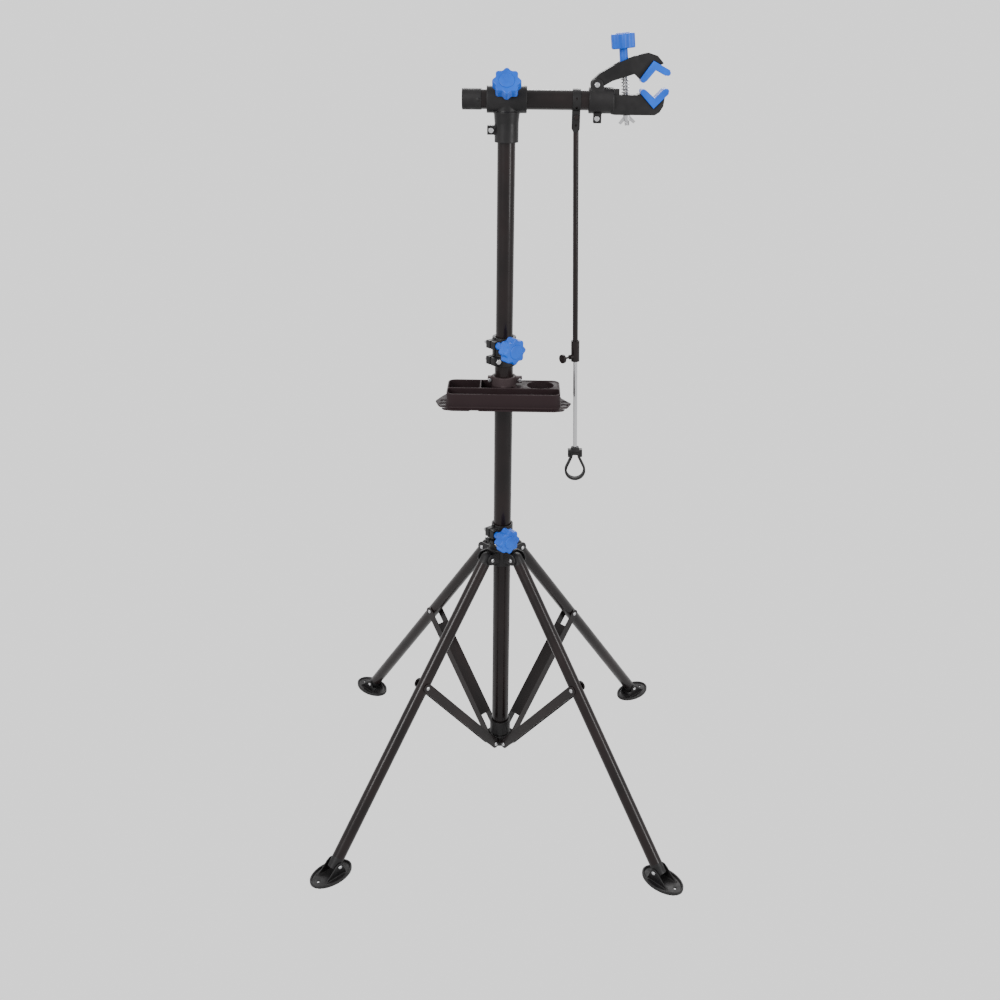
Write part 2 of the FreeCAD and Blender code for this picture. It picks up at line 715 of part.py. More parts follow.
def tee_joint():
    """Cast tee: upright sleeve on the mast, crosswise sleeve for the arm, ear and knob boss."""
    neck = cylinder(TEE_NECK_OD, S["tee_drop"], (0, 0, TEE_LOW))
    flare = cone(TEE_NECK_OD, TEE_OD, 20, (0, 0, S["arm_up"] - 40))
    cross = cylinder(TEE_OD, 2 * S["tee_half"], (-S["tee_half"], 0, S["arm_up"]), ACROSS)
    ear = box(TEE_EAR_OUT, 16, 15.5, (-TEE_EAR_OUT, 0, TEE_BOLT - 7.75))
    boss = cylinder(20, TEE_OD / 2 + 4, (0, 0, S["arm_up"]), knob_axis())
    bore = cylinder(S["upper_od"] + 2 * S["slide_gap"], UPPER_TOP - TEE_LOW + 2, (0, 0, TEE_LOW - 1))
    cross_bore = cylinder(S["arm_od"] + 2 * S["slide_gap"], 4 * S["tee_half"],
                          (-2 * S["tee_half"], 0, S["arm_up"]), ACROSS)
    slit = box(TEE_EAR_OUT, SLIT, 50, (-TEE_EAR_OUT - 11, 0, TEE_LOW - 1))
    ear_hole = cross_hole(5, 40, (-TEE_BOLT_OUT, 0, TEE_BOLT))
    stud_hole = cylinder(S["stud_od"] + 2 * S["pin_gap"], 60, (0, 0, S["arm_up"]), knob_axis())
    item = cut(fuse(neck, flare, cross, ear, boss), bore, cross_bore, slit, ear_hole, stud_hole)
    add_node(item, "tee_joint")


def knob_axis():
    pitch = math.radians(KNOB_PITCH)
    return Vector(0, -math.cos(pitch), math.sin(pitch))


def tee_bolt():
    shank = cylinder(5, 22, (-TEE_BOLT_OUT, 13, TEE_BOLT), -BACK)
    head = cylinder(9, 4, (-TEE_BOLT_OUT, -8, TEE_BOLT), -BACK)
    nut = hexagon(8, 4, (-TEE_BOLT_OUT, 8, TEE_BOLT), BACK)
    add_node(fuse(shank, head, nut), "tee_bolt")


def tee_knob():
    place = Placement(Vector(0, 0, float(S["arm_up"])), towards(knob_axis()))
    stem_low = TEE_OD / 2 + 4 + S["slide_gap"]
    stud_low = S["arm_od"] / 2 + S["slide_gap"]
    star_knob("tee_knob", TEE_KNOB_OUT, stem_low, stud_low, place)


# ---------------------------------------------------------------- arm and clamp

def arm_tube():
    long = S["arm_left"] - 2 + S["arm_right"]
    item = tube(S["arm_od"], S["arm_od"] - 2 * S["arm_wall"], long,
                (2 - S["arm_left"], 0, S["arm_up"]), ACROSS)
    add_node(item, "arm_tube")


def arm_cap():
    """End cap over the arm's left end, with its small screw."""
    cap_od = S["arm_od"] + 2
    shell = cylinder(cap_od, S["cap_long"], (-S["arm_left"], 0, S["arm_up"]), ACROSS)
    bore = cylinder(S["arm_od"] + 2 * S["seat_gap"], S["cap_long"], (2 - S["arm_left"], 0, S["arm_up"]),
                    ACROSS)
    screw = cylinder(4.5, 1.5, (5 - S["arm_left"] + 24, -cap_od / 2 + 0.3, S["arm_up"]), -BACK)
    add_node(fuse(cut(shell, bore), screw), "arm_cap")


SLEEVE_OD = S["arm_od"] + 2 * S["seat_gap"] + 2 * S["sleeve_wall"]
JAW_BASE = S["arm_up"] + S["arm_od"] / 2 - 17
JAW_PIVOT_UP = S["arm_od"] / 2 + S["jaw_pivot_up"]
CLAMP_EAR_LONG = 16
CLAMP_EAR_LOW = S["arm_up"] - SLEEVE_OD / 2 - CLAMP_EAR_LONG
CLAMP_BOLT_X = 15
JAW_EAR_HALF = 15
JAW_GAP_HALF = 11
JAW_PIN_OD = 6


def screw_line(above):
    """Point on the clamp screw's axis at a height above the arm's axis."""
    lean = math.tan(math.radians(float(S["screw_lean"])))
    return (S["screw_x"] - above * lean, 0, JAW_BASE + above)


def screw_axis():
    lean = math.radians(float(S["screw_lean"]))
    return Vector(-math.sin(lean), 0, math.cos(lean))


def jaw_x(out):
    return S["screw_x"] + out


def jaw_z(up):
    return JAW_BASE + up


def outline(points):
    """Corners given from the clamp screw and above the clamp's own base height."""
    return [(jaw_x(x), jaw_z(z)) for x, z in points]


# V pads: each is a strip folded at its apex, given by its inner and outer edge.
PAD_END_OD = 9
LOWER_PAD = [(31.9, 18.9), (24, 12), (47, -12), (72, 13), (63.1, 20.9), (48, 5.4)]
UPPER_PAD = [(32, 32.5), (22, 37), (43, 66), (72, 51), (64.9, 41.8), (47.2, 50.9)]
LOWER_SEAT = [(24, 12), (47, -12), (72, 13), (72, 60), (10, 60), (10, 12)]
UPPER_SEAT = [(22, 37), (43, 66), (72, 51), (90, 20), (50, -20), (22, 20)]
FIXED_JAW = [(-26, -22), (-26, 10), (18, 10), (24, 15), (66, 8), (64, -8), (58, -18), (50, -23), (-20, -23)]
MOVING_JAW = [(-60, 26), (-58, 35), (-47, 45), (-15, 63), (20, 76), (34, 79), (50, 74), (61, 62),
              (40, 50), (22, 35), (12, 44), (-4, 39), (-26, 32), (-40, 24), (-51.6, 18)]


def clamp_body():
    """Sleeve on the arm, fixed jaw, hinge ears for the moving jaw and a pinch ear below."""
    start = S["sleeve_left"]
    sleeve = cylinder(SLEEVE_OD, 42, (start, 0, S["arm_up"]), ACROSS)
    jaw = plate(outline(FIXED_JAW), 2 * S["jaw_half"])
    rib = box(30, 24, 10, (start + 22, 0, jaw_z(10)))
    pivot_high = JAW_PIVOT_UP
    ears = fuse(box(22, 2 * JAW_EAR_HALF, pivot_high, (S["jaw_pivot_x"] - 10, 0, S["arm_up"])),
                cross_hole(21, 2 * JAW_EAR_HALF, (S["jaw_pivot_x"], 0, S["arm_up"] + pivot_high)))
    ear_gap = cut(box(60, 2 * JAW_GAP_HALF, 40, (start - 15, 0, jaw_z(8))),
                  cylinder(SLEEVE_OD, 90, (start - 20, 0, S["arm_up"]), ACROSS))
    rear_slope = cross_hole(25, 2 * JAW_GAP_HALF, (S["jaw_pivot_x"], 0, S["arm_up"] + pivot_high))
    pinch = box(14, 15, S["arm_up"] - CLAMP_EAR_LOW, (start + 9, 0, CLAMP_EAR_LOW))
    bore = cylinder(S["arm_od"] + 2 * S["seat_gap"], S["arm_right"] - start + 1,
                    (start - 1, 0, S["arm_up"]), ACROSS)
    slit = box(30, SLIT, 26, (start - 1, 0, CLAMP_EAR_LOW - 1))
    pin_hole = cross_hole(JAW_PIN_OD, 60, (S["jaw_pivot_x"], 0, S["arm_up"] + pivot_high))
    bolt_hole = cross_hole(5, 60, (start + CLAMP_BOLT_X, 0, CLAMP_EAR_LOW + CLAMP_EAR_LONG / 2))
    screw_hole = cylinder(S["screw_od"] + 2 * S["slide_gap"], 80, screw_line(-40), screw_axis())
    seat = plate(outline(LOWER_SEAT), 4 * S["jaw_half"])
    solid = fuse(sleeve, jaw, rib, cut(ears, ear_gap), pinch)
    item = cut(solid, bore, rear_slope, slit, pin_hole, bolt_hole, screw_hole, seat)
    add_node(item, "clamp_body")


def clamp_bolt():
    at = (S["sleeve_left"] + CLAMP_BOLT_X, 12, CLAMP_EAR_LOW + CLAMP_EAR_LONG / 2)
    front = (at[0], -7.5, at[2])
    back = (at[0], 7.5, at[2])
    add_node(fuse(cylinder(5, 20, at, -BACK), cylinder(9, 3.5, front, -BACK),
                  hexagon(8, 4, back, BACK)), "clamp_bolt")


def bent_pad(points):
    """Angled rubber pad: two limbs with round ends. The first and the last limb ends are
    points 0 to 1 and 3 to 4 of its outline."""
    half = float(S["pad_half"])
    ends = []
    for one, other in (points[0:2], points[3:5]):
        middle = outline([((one[0] + other[0]) / 2, (one[1] + other[1]) / 2)])[0]
        ends.append(cylinder(PAD_END_OD, 2 * S["pad_half"], (middle[0], -half, middle[1]), BACK))
    return fuse(plate(outline(points), 2 * S["pad_half"]), *ends)


def lower_pad():
    add_node(bent_pad(LOWER_PAD), "lower_pad")


def upper_pad():
    add_node(bent_pad(UPPER_PAD), "upper_pad")


def jaw_pin():
    grip = 2 * JAW_EAR_HALF
    at = (S["jaw_pivot_x"], -JAW_EAR_HALF, S["arm_up"] + JAW_PIVOT_UP)
    far = (at[0], JAW_EAR_HALF, at[2])
    add_node(fuse(cylinder(JAW_PIN_OD, grip, at, BACK),
                  cone(11, 8, 2.5, at, -BACK),
                  cone(11, 8, 2.5, far, BACK)), "jaw_pin")


STEM_LOW = 56
STEM_FLOOR = 52


def upper_jaw():
    """Moving jaw: an arched lever with a slot for the screw and a well for the knob's stem."""
    wide = 2 * JAW_GAP_HALF - 2 * S["slide_gap"]
    lever = plate(outline(MOVING_JAW), wide)
    eye = cross_hole(17, wide, (S["jaw_pivot_x"], 0, S["arm_up"] + JAW_PIVOT_UP))
    pin_hole = cross_hole(JAW_PIN_OD + 2 * S["pin_gap"], 60,
                          (S["jaw_pivot_x"], 0, S["arm_up"] + JAW_PIVOT_UP))
    well = box(36, 17, 60, (jaw_x(-24), 0, jaw_z(STEM_FLOOR)))
    slot = box(30, S["screw_od"] + 1.5, 90, (jaw_x(-19), 0, jaw_z(10)))
    seat = plate(outline(UPPER_SEAT), 4 * S["jaw_half"])
    add_node(cut(fuse(lever, eye), pin_hole, well, slot, seat), "upper_jaw")


def clamp_screw():
    item = cylinder(S["screw_od"], 116, screw_line(-41), screw_axis())
    add_node(item, "clamp_screw")


def clamp_knob():
    """Knob on the screw's head: lobed grip, long stem and a blind bore for the screw."""
    thick = 24
    place = Placement(Vector(*[float(value) for value in screw_line(STEM_LOW)]),
                      towards(screw_axis()))
    head = put(star(S["clamp_knob_od"], thick, 6), (0, 0, 29))
    crown = cone(S["clamp_knob_od"] * 0.6, S["clamp_knob_od"] * 0.5, 2, (0, 0, 29 + thick))
    stem = cylinder(14.6, 29)
    bore = cylinder(S["screw_od"] + 2 * S["pin_gap"], 21)
    add_node(cut(fuse(head, crown, stem), bore), "clamp_knob", place)


SPRING_OD = 14
SPRING_WIRE = 1.6
SPRING_LOW = 11.5
SPRING_HIGH = 27


def clamp_spring():
    """Coil spring that lifts the moving jaw."""
    coil = doc.addObject("Part::Helix", "Coil")
    coil.Pitch = SPRING_HIGH / 5 - 0.1
    coil.Height = SPRING_HIGH - SPRING_WIRE
    coil.Radius = (SPRING_OD - SPRING_WIRE) / 2
    wire = doc.addObject("Part::Circle", "Wire")
    wire.Radius = SPRING_WIRE / 2
    put(wire, (coil.Radius.Value, 0, 0), Rotation(ACROSS, 90))
    item = doc.addObject("Part::Sweep", "Spring")
    item.Sections = [wire]
    item.Spine = (coil, ["Edge1"])
    item.Solid = True
    item.Frenet = True
    place = Placement(Vector(*[float(value) for value in screw_line(SPRING_LOW)]),
                      towards(screw_axis()))
    add_node(item, "clamp_spring", place)


def wing_nut():
    """Wing nut below the fixed jaw, on the screw's lower end."""
    place = Placement(Vector(*[float(value) for value in screw_line(-24)]), towards(-screw_axis()))
    barrel = cone(13, 10, 9)
    wings = plate([(-5, 1), (-15, 12), (-11, 15), (-3, 8), (3, 8), (11, 15), (15, 12), (5, 1)], 2.5)
    bore = cylinder(S["screw_od"] + 2 * S["pin_gap"], 40, (0, 0, -10))
    add_node(cut(fuse(barrel, wings), bore), "wing_nut", place)


# ---------------------------------------------------------------- handlebar holder

STRAP_BORE = S["arm_od"] + 2 * S["slide_gap"]
STRAP_GAP = S["rod_od"] + 1
ROD_PIVOT = S["arm_up"] - S["hanger_drop"]
STRAP_TAIL = 26


def hanger_strap():
    """Perforated strap looped over the arm, its two tails either side of the rod."""
    wall = S["strap_wall"]
    wide = S["strap_wide"]
    left = S["hanger_x"] - wide / 2
    ring = tube(STRAP_BORE + 2 * wall, STRAP_BORE, wide, (left, 0, S["arm_up"]), ACROSS)
    tail_low = ROD_PIVOT - STRAP_TAIL
    tails = box(wide, STRAP_GAP + 2 * wall, S["arm_up"] - tail_low, (left, 0, tail_low))
    gap = box(2 * wide, STRAP_GAP, S["arm_up"] - tail_low + 1, (left - wide / 2, 0, tail_low - 1))
    room = cylinder(STRAP_BORE, 2 * wide, (left - wide / 2, 0, S["arm_up"]), ACROSS)
    holes = [cross_hole(4, 60, (S["hanger_x"], 0, ROD_PIVOT - 14)),
             cross_hole(S["rivet_od"], 60, (S["hanger_x"], 0, ROD_PIVOT))]
    holes.append(cylinder(4, 40, (S["hanger_x"], 0, S["arm_up"] + 3), -BACK))
    holes.append(cylinder(4, 40, (S["hanger_x"], 0, S["arm_up"] - 12), -BACK))
    corner = [(-9, -1), (-9, 9), (-3, -1)]
    nips = [plate([(S["hanger_x"] + side * x, tail_low + z) for x, z in corner], 40)
            for side in (-1, 1)]
    add_node(cut(fuse(ring, tails), gap, room, *holes, *nips), "hanger_strap")


def hanger_bolt():
    half = STRAP_GAP / 2 + S["strap_wall"]
    at = (S["hanger_x"], -half, ROD_PIVOT)
    far = (S["hanger_x"], half, ROD_PIVOT)
    add_node(fuse(cylinder(S["rivet_od"], 2 * half, at, BACK), hexagon(8, 3, at, -BACK),
                  hexagon(8, 4, far, BACK)), "hanger_bolt")


def rod_frame():
    """Frame of the rod: its origin at the pivot, its Z axis down the rod."""
    turn = Rotation(BACK, 180 - float(S["rod_lean"]))
    return Placement(Vector(float(S["hanger_x"]), 0, float(ROD_PIVOT)), turn)


SOCKET_START = S["rod_long"]
THUMB_DOWN = S["rod_long"] + 30
SOCKET_END = SOCKET_START + S["socket_long"]
ROD_SOLID = 18


def thumb_axis():
    """The thumb screw's direction in the rod's frame, whose X axis points at the mast."""
    turn = math.radians(THUMB_ANGLE)
    return Vector(-math.cos(turn), math.sin(turn), 0)


def rod_outer():
    """Outer rod with its socket and the boss of the thumb screw."""
    rod = fuse(ball(S["rod_od"]), cylinder(S["rod_od"], SOCKET_START))
    socket = cylinder(S["socket_od"], S["socket_long"], (0, 0, SOCKET_START))
    boss = cylinder(9, 14, (0, 0, THUMB_DOWN), thumb_axis())
    bore = cylinder(S["inner_od"] + 2 * S["slide_gap"], SOCKET_END - ROD_SOLID + 1, (0, 0, ROD_SOLID))
    pivot = cross_hole(RIVET_HOLE, 60, (0, 0, 0))
    stud_hole = cylinder(4 + 2 * S["pin_gap"], 40, (0, 0, THUMB_DOWN), thumb_axis())
    add_node(cut(fuse(rod, socket, boss), bore, pivot, stud_hole), "rod_outer", rod_frame())


def thumb_screw():
    place = rod_frame().multiply(Placement(Vector(0, 0, float(THUMB_DOWN)), towards(thumb_axis())))
    start = S["inner_od"] / 2 + S["slide_gap"]
    stud = cylinder(4, 30 - start, (0, 0, start))
    head = cylinder(17, 5, (0, 0, 28))
    neck = cone(7, 9, 4, (0, 0, 24))
    add_node(fuse(stud, neck, head), "thumb_screw", place)


INNER_END = SOCKET_END + S["inner_out"]


def rod_inner():
    long = S["inner_hidden"] + S["inner_out"] + 6
    item = group(cylinder(S["inner_od"], long, (0, 0, SOCKET_END - S["inner_hidden"])))
    add_node(item, "rod_inner", rod_frame())


FORK_HALF = 14
FORK_HIGH = 15
LOOP_DROP = 46


def loop_yoke():
    """Moulded fork on the inner rod's end, which holds the loop's two ends."""
    barrel = cylinder(16, 9, (0, 0, INNER_END - 3))
    fork = box(2 * FORK_HALF, S["loop_wide"], FORK_HIGH, (-FORK_HALF, 0, INNER_END + 2))
    gap = box(19, 40, FORK_HIGH, (-9.5, 0, INNER_END + 8))
    bore = cylinder(S["inner_od"] + 2 * S["seat_gap"], 9 + 3, (0, 0, INNER_END - 6))
    add_node(cut(fuse(barrel, fork), gap, bore), "loop_yoke", rod_frame())


def loop_strap():
    """Rubber loop: a round band drawn together at the fork."""
    centre = INNER_END + LOOP_DROP
    top = INNER_END + 8.2
    fork_end = INNER_END + FORK_HIGH + 2.5
    outer_half = S["loop_od"] / 2 - 1.2
    outer = fuse(cross_hole(S["loop_od"], S["loop_wide"], (0, 0, centre)),
                 plate([(-9.2, top), (9.2, top), (9.4, fork_end), (outer_half, centre - 7),
                        (-outer_half, centre - 7), (-9.4, fork_end)], S["loop_wide"]))
    inner_od = S["loop_od"] - 2 * S["loop_wall"]
    inner_half = inner_od / 2 - 0.9
    inner = fuse(cross_hole(inner_od, 2 * S["loop_wide"], (0, 0, centre)),
                 plate([(-4.4, top + 5), (4.4, top + 5), (4.9, fork_end), (inner_half, centre - 6),
                        (-inner_half, centre - 6), (-4.9, fork_end)], 2 * S["loop_wide"]))
    add_node(cut(outer, inner), "loop_strap", rod_frame())


# ---------------------------------------------------------------- tool tray

FLANGE = 3
COLLAR_UP = 48
DIVIDER_AT = -43
DECK_AT = 23
CUP_X = 70
TRAY_CORNER = 14
CUP_Y = -1
DECK_DROP = 2
TRAY_COLLAR_OD = S["lower_od"] + 11
TRAY_SCREW_AT = (-TRAY_COLLAR_OD / 2 - 4, TRAY_COLLAR_OD / 2 + 8)
WING_TURNS = (-170, -159, -148, -32, -21.5, -12.5)


def tray_flange():
    """Flange round the foot of the tray, with a tool wing at each end."""
    half = S["tray_half"]
    front = -S["tray_front"] - 10
    back = S["tray_back"] + 4
    wings = [(math.cos(math.radians(turn)) * S["wing_reach"],
              math.sin(math.radians(turn)) * S["wing_reach"]) for turn in WING_TURNS]
    corners = [(-half, back), (-half - 10, back - 20), *wings[:3], (-half + 12, front),
               (half - 12, front), *wings[3:], (half + 13, -14), (half + 5, 0), (half, back)]
    body = plate(corners, FLANGE, "XY_Plane")
    return put(body, (0, 0, S["tray_low"] + FLANGE / 2))


def tray_well(left, right, front, back, low):
    wide = back - front
    return box(right - left, wide, 60, (left, front + wide / 2, low))


def tray():
    """Moulded tray: front well, two back wells, deck with a round hole, wings and a mast collar."""
    low = S["tray_low"]
    wall = S["tray_wall"]
    half = S["tray_half"]
    deep = S["tray_front"] + S["tray_back"]
    middle = (S["tray_back"] - S["tray_front"]) / 2
    shell = round_block(2 * half, deep, S["tray_deep"], TRAY_CORNER, (0, middle, low))
    room = round_block(2 * (half - wall), deep - 2 * wall, S["tray_deep"] + 2, TRAY_CORNER - wall,
                       (0, middle, low - 1))
    outer_wall = cut(round_block(2 * half, deep, S["tray_deep"], TRAY_CORNER, (0, middle, low)), room)
    floor = low + FLANGE
    rim_front = wall - S["tray_front"]
    rim_back = S["tray_back"] - wall
    rail = -S["lower_od"] / 2 - 7.5
    front_well = tray_well(wall - half, half - wall, rim_front, rail - wall, floor)
    left_well = tray_well(wall - half, DIVIDER_AT - wall, rail, rim_back, floor)
    middle_well = cut(tray_well(DIVIDER_AT, DECK_AT - wall, rail, rim_back, floor),
                      cylinder(TRAY_COLLAR_OD, 60, (0, 0, floor - 1)))
    deck_room = tray_well(DECK_AT, half - wall, rail, rim_back, low + S["tray_deep"] - DECK_DROP)
    under = cut(tray_well(DECK_AT, half - wall, rail, rim_back, low - 60 + S["tray_deep"] - 4),
                cylinder(S["cup_od"] + 2 * wall, 90, (CUP_X, CUP_Y, low - 40)))
    cup = cylinder(S["cup_od"], 90, (CUP_X, CUP_Y, low - 40))
    collar = fuse(cylinder(TRAY_COLLAR_OD, COLLAR_UP, (0, 0, low)),
                  box(TRAY_COLLAR_OD + 20, 12, 12, (-TRAY_COLLAR_OD / 2 - 8, 0, low + COLLAR_UP - 14)))
    bore = cylinder(S["lower_od"] + 2 * S["seat_gap"], 90, (0, 0, low - 10))
    screws = [cross_hole(4, 40, (x, 0, low + COLLAR_UP - 8)) for x in TRAY_SCREW_AT]
    slots = [slot_hole(x, y) for x in (-half - 7, half + 9) for y in (-58, -40, -22)]
    notch = box(17, 8, 20, (-63, -S["tray_front"] - 10, low - 5))
    shelled = cut(shell, front_well, left_well, middle_well, deck_room, under)
    item = cut(fuse(shelled, outer_wall, tray_flange(), collar), bore, cup, notch, *screws, *slots)
    add_node(item, "tray")


def slot_hole(x, y):
    """Rounded slot through a tool wing."""
    low = S["tray_low"] - 5
    return fuse(cylinder(7, 20, (x - 3, y, low)), cylinder(7, 20, (x + 3, y, low)),
                box(6, 7, 20, (x - 3, y, low)))


def round_block(long, wide, high, radius, at):
    """Upright block with round corners, its base point in the middle of its underside."""
    inner = box(long - 2 * radius, wide, high, (at[0] - long / 2 + radius, at[1], at[2]))
    other = box(long, wide - 2 * radius, high, (at[0] - long / 2, at[1], at[2]))
    corners = [cylinder(2 * radius, high, (at[0] + sx * (long / 2 - radius),
                                           at[1] + sy * (wide / 2 - radius), at[2]))
               for sx in (-1, 1) for sy in (-1, 1)]
    return fuse(inner, other, *corners)


def tray_screws():
    screws = []
    for x in TRAY_SCREW_AT:
        height = S["tray_low"] + COLLAR_UP - 8
        screws.append(fuse(cylinder(4, 12, (x, -6, height), BACK),
                           cylinder(7.5, 3, (x, -6, height), -BACK),
                           hexagon(7, 3, (x, 6, height), BACK)))
    add_node(group(*screws), "tray_screws")


def build():
    for side, angle in LEGS.items():
        leg_tube(side, angle)
        leg_plugs(side, angle)
        foot(side, angle)
        foot_rivet(side, angle)
        strut(side, angle)
        strut_rivets(side, angle)
    for make in (base_collar, base_rivets, lower_tube, mid_collar, mid_collar_bolts, mid_knob,
                 leg_hub, hub_rivets, hub_bolts, hub_knob, upper_tube, tube_glide, tee_joint,
                 tee_bolt, tee_knob, arm_tube, arm_cap, clamp_body, clamp_bolt, lower_pad,
                 upper_pad, jaw_pin, upper_jaw, clamp_screw, clamp_knob, clamp_spring, wing_nut,
                 hanger_strap, hanger_bolt, rod_outer, thumb_screw, rod_inner, loop_yoke,
                 loop_strap, tray, tray_screws):
        make()
    doc.recompute()


def check_and_export():
    """Refuse a failed object or a bad shape, then write one file for each node."""
    for item in doc.Objects:
        if "Invalid" in item.State or "Error" in item.State:
            raise RuntimeError(item.Label + " failed: " + str(item.State))
    os.makedirs("parts", exist_ok=True)
    for item in nodes:
        shape = item.Shape
        if shape.isNull() or not shape.isValid() or not shape.Solids:
            raise RuntimeError(item.Label + " has no good shape")
    for item in nodes:
        item.Shape.exportStep("parts/" + item.Label + ".step")
    print(len(nodes), "nodes; leg tilt", round(LEG_TILT, 4), "strut tilt", round(STRUT_TILT, 4),
          "leg", round(float(LEG_LONG), 3), "strut", round(float(STRUT_LONG), 3))


build()
check_and_export()
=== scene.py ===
import json
import math

import bpy
from mathutils import Matrix, Vector


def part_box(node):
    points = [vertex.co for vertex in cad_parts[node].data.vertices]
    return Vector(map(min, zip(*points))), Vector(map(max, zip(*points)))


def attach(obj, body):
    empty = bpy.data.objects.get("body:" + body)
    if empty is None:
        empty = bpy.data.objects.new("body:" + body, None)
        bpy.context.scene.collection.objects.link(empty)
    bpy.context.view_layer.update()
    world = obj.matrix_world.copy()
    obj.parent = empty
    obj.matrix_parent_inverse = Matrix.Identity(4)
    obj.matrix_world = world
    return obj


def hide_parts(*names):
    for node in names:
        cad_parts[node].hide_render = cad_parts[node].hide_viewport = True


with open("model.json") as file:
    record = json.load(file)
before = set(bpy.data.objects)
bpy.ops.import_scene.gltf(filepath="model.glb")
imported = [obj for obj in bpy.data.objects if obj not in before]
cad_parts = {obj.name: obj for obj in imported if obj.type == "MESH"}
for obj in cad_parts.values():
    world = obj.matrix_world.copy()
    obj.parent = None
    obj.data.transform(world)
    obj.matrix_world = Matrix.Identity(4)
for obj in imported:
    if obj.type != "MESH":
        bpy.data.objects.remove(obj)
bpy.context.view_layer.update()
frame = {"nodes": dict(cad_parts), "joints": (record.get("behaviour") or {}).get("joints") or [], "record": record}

bl_info = {
    "name": "Folding Bike Repair Stand",
    "version": (1, 0, 0),
    "blender": (4, 5, 0),
    "location": "View3D > Sidebar > Repair Stand",
    "description": "Builds the looks of a folding repair stand on its packed frame",
    "category": "Object",
}

JOINTS = {joint["name"]: joint for joint in frame["joints"]}
SIDES = ("front_left", "front_right", "rear_left", "rear_right")


# ------------------------------------------------------------------ sizes and colours

def length(name, text, default):
    return bpy.props.FloatProperty(name=name, description=text, default=default,
                                   unit="LENGTH", subtype="DISTANCE", precision=4)


def colour(name, text, default):
    return bpy.props.FloatVectorProperty(name=name, description=text, default=default,
                                         subtype="COLOR", size=3, min=0.0, max=1.0)


class RepairStandSizes(bpy.types.PropertyGroup):
    """Sizes of the pieces that are modelled here rather than taken from the frame."""
    knob_width: length("Knob width", "Star knobs across their lobes", 0.050)
    knob_thick: length("Knob thickness", "Star knobs along their axis", 0.021)
    knob_crown: length("Knob crown", "Raised round middle of a star knob", 0.0016)
    knob_stem: length("Knob stem", "Stem behind a star knob", 0.014)
    stud_width: length("Stud", "Threaded stud of a star knob", 0.006)
    clamp_knob_width: length("Clamp knob width", "Knob on top of the clamp screw", 0.044)
    clamp_knob_thick: length("Clamp knob thickness", "Its lobed grip", 0.024)
    clamp_stem: length("Clamp knob stem", "Stem below the clamp knob", 0.0146)
    clamp_stem_long: length("Clamp knob stem length", "From the jaw up to the grip", 0.029)
    lobe_depth: bpy.props.FloatProperty(name="Lobe depth", default=0.17, min=0.0, max=0.4,
                                        subtype="FACTOR",
                                        description="How far the grooves reach into a star knob")
    cast_skin: length("Casting detail", "Grid of the moulded castings' skins", 0.0008)
    steel_skin: length("Hardware detail", "Grid of the bolts' and the strap's skins", 0.0005)
    tray_skin: length("Tray detail", "Grid of the tray's skin", 0.0013)
    foot_skin: length("Foot detail", "Grid of the feet's skins", 0.0009)


class RepairStandColours(bpy.types.PropertyGroup):
    """Colours of the stand's finishes."""
    enamel: colour("Enamel", "Gloss enamel on the tubes", (0.0042, 0.0030, 0.0031))
    enamel_warm: colour("Warm enamel", "Warmer patches of the enamel", (0.0085, 0.0052, 0.0052))
    blue: colour("Blue", "Knobs and clamp pads", (0.0045, 0.074, 0.42))
    blue_deep: colour("Deep blue", "Shaded patches of the blue plastic", (0.0030, 0.048, 0.30))
    black: colour("Black plastic", "Castings and feet", (0.0045, 0.0042, 0.0045))
    black_pale: colour("Pale black", "Rubbed patches of the black plastic", (0.010, 0.0093, 0.0095))
    tray: colour("Tray", "Brown black of the tray", (0.0120, 0.0066, 0.0075))
    tray_rim: colour("Tray rim", "Paler upper edges of the tray", (0.030, 0.021, 0.022))
    zinc: colour("Zinc", "Rivets and bolts", (0.46, 0.46, 0.47))
    bright: colour("Bright steel", "Inner rod", (0.50, 0.50, 0.51))
    rubber: colour("Rubber", "Handlebar loop", (0.005, 0.005, 0.005))
    floor: colour("Floor", "Studio floor", (0.93, 0.93, 0.93))


def sizes():
    return bpy.context.scene.repair_stand_sizes


def tint(name):
    return (*getattr(bpy.context.scene.repair_stand_colours, name), 1.0)


# ------------------------------------------------------------------ finishes

def effect_group(name, inputs, outputs):
    """An empty shader node group with its named sockets."""
    group = bpy.data.node_groups.new(name, "ShaderNodeTree")
    for label, default in inputs:
        socket = group.interface.new_socket(label, in_out="INPUT", socket_type="NodeSocketFloat")
        socket.default_value = default
    for label in outputs:
        group.interface.new_socket(label, in_out="OUTPUT", socket_type="NodeSocketFloat")
    entry = group.nodes.new("NodeGroupInput")
    leave = group.nodes.new("NodeGroupOutput")
    return group, entry, leave


def noise(tree, vector, scale, detail=3.0, rough=0.55):
    node = tree.nodes.new("ShaderNodeTexNoise")
    node.inputs["Detail"].default_value = detail
    node.inputs["Roughness"].default_value = rough
    tree.links.new(vector, node.inputs["Vector"])
    if isinstance(scale, float):
        node.inputs["Scale"].default_value = scale
    else:
        tree.links.new(scale, node.inputs["Scale"])
    return node


def remap(tree, value, low, high, to_low=0.0, to_high=1.0):
    node = tree.nodes.new("ShaderNodeMapRange")
    node.inputs["From Min"].default_value = low
    node.inputs["From Max"].default_value = high
    node.inputs["To Min"].default_value = to_low
    node.inputs["To Max"].default_value = to_high
    tree.links.new(value, node.inputs["Value"])
    return node.outputs["Result"]


def math_node(tree, kind, one, other):
    node = tree.nodes.new("ShaderNodeMath")
    node.operation = kind
    for socket, value in zip(node.inputs, (one, other)):
        if isinstance(value, float):
            socket.default_value = value
        else:
            tree.links.new(value, socket)
    return node.outputs["Value"]


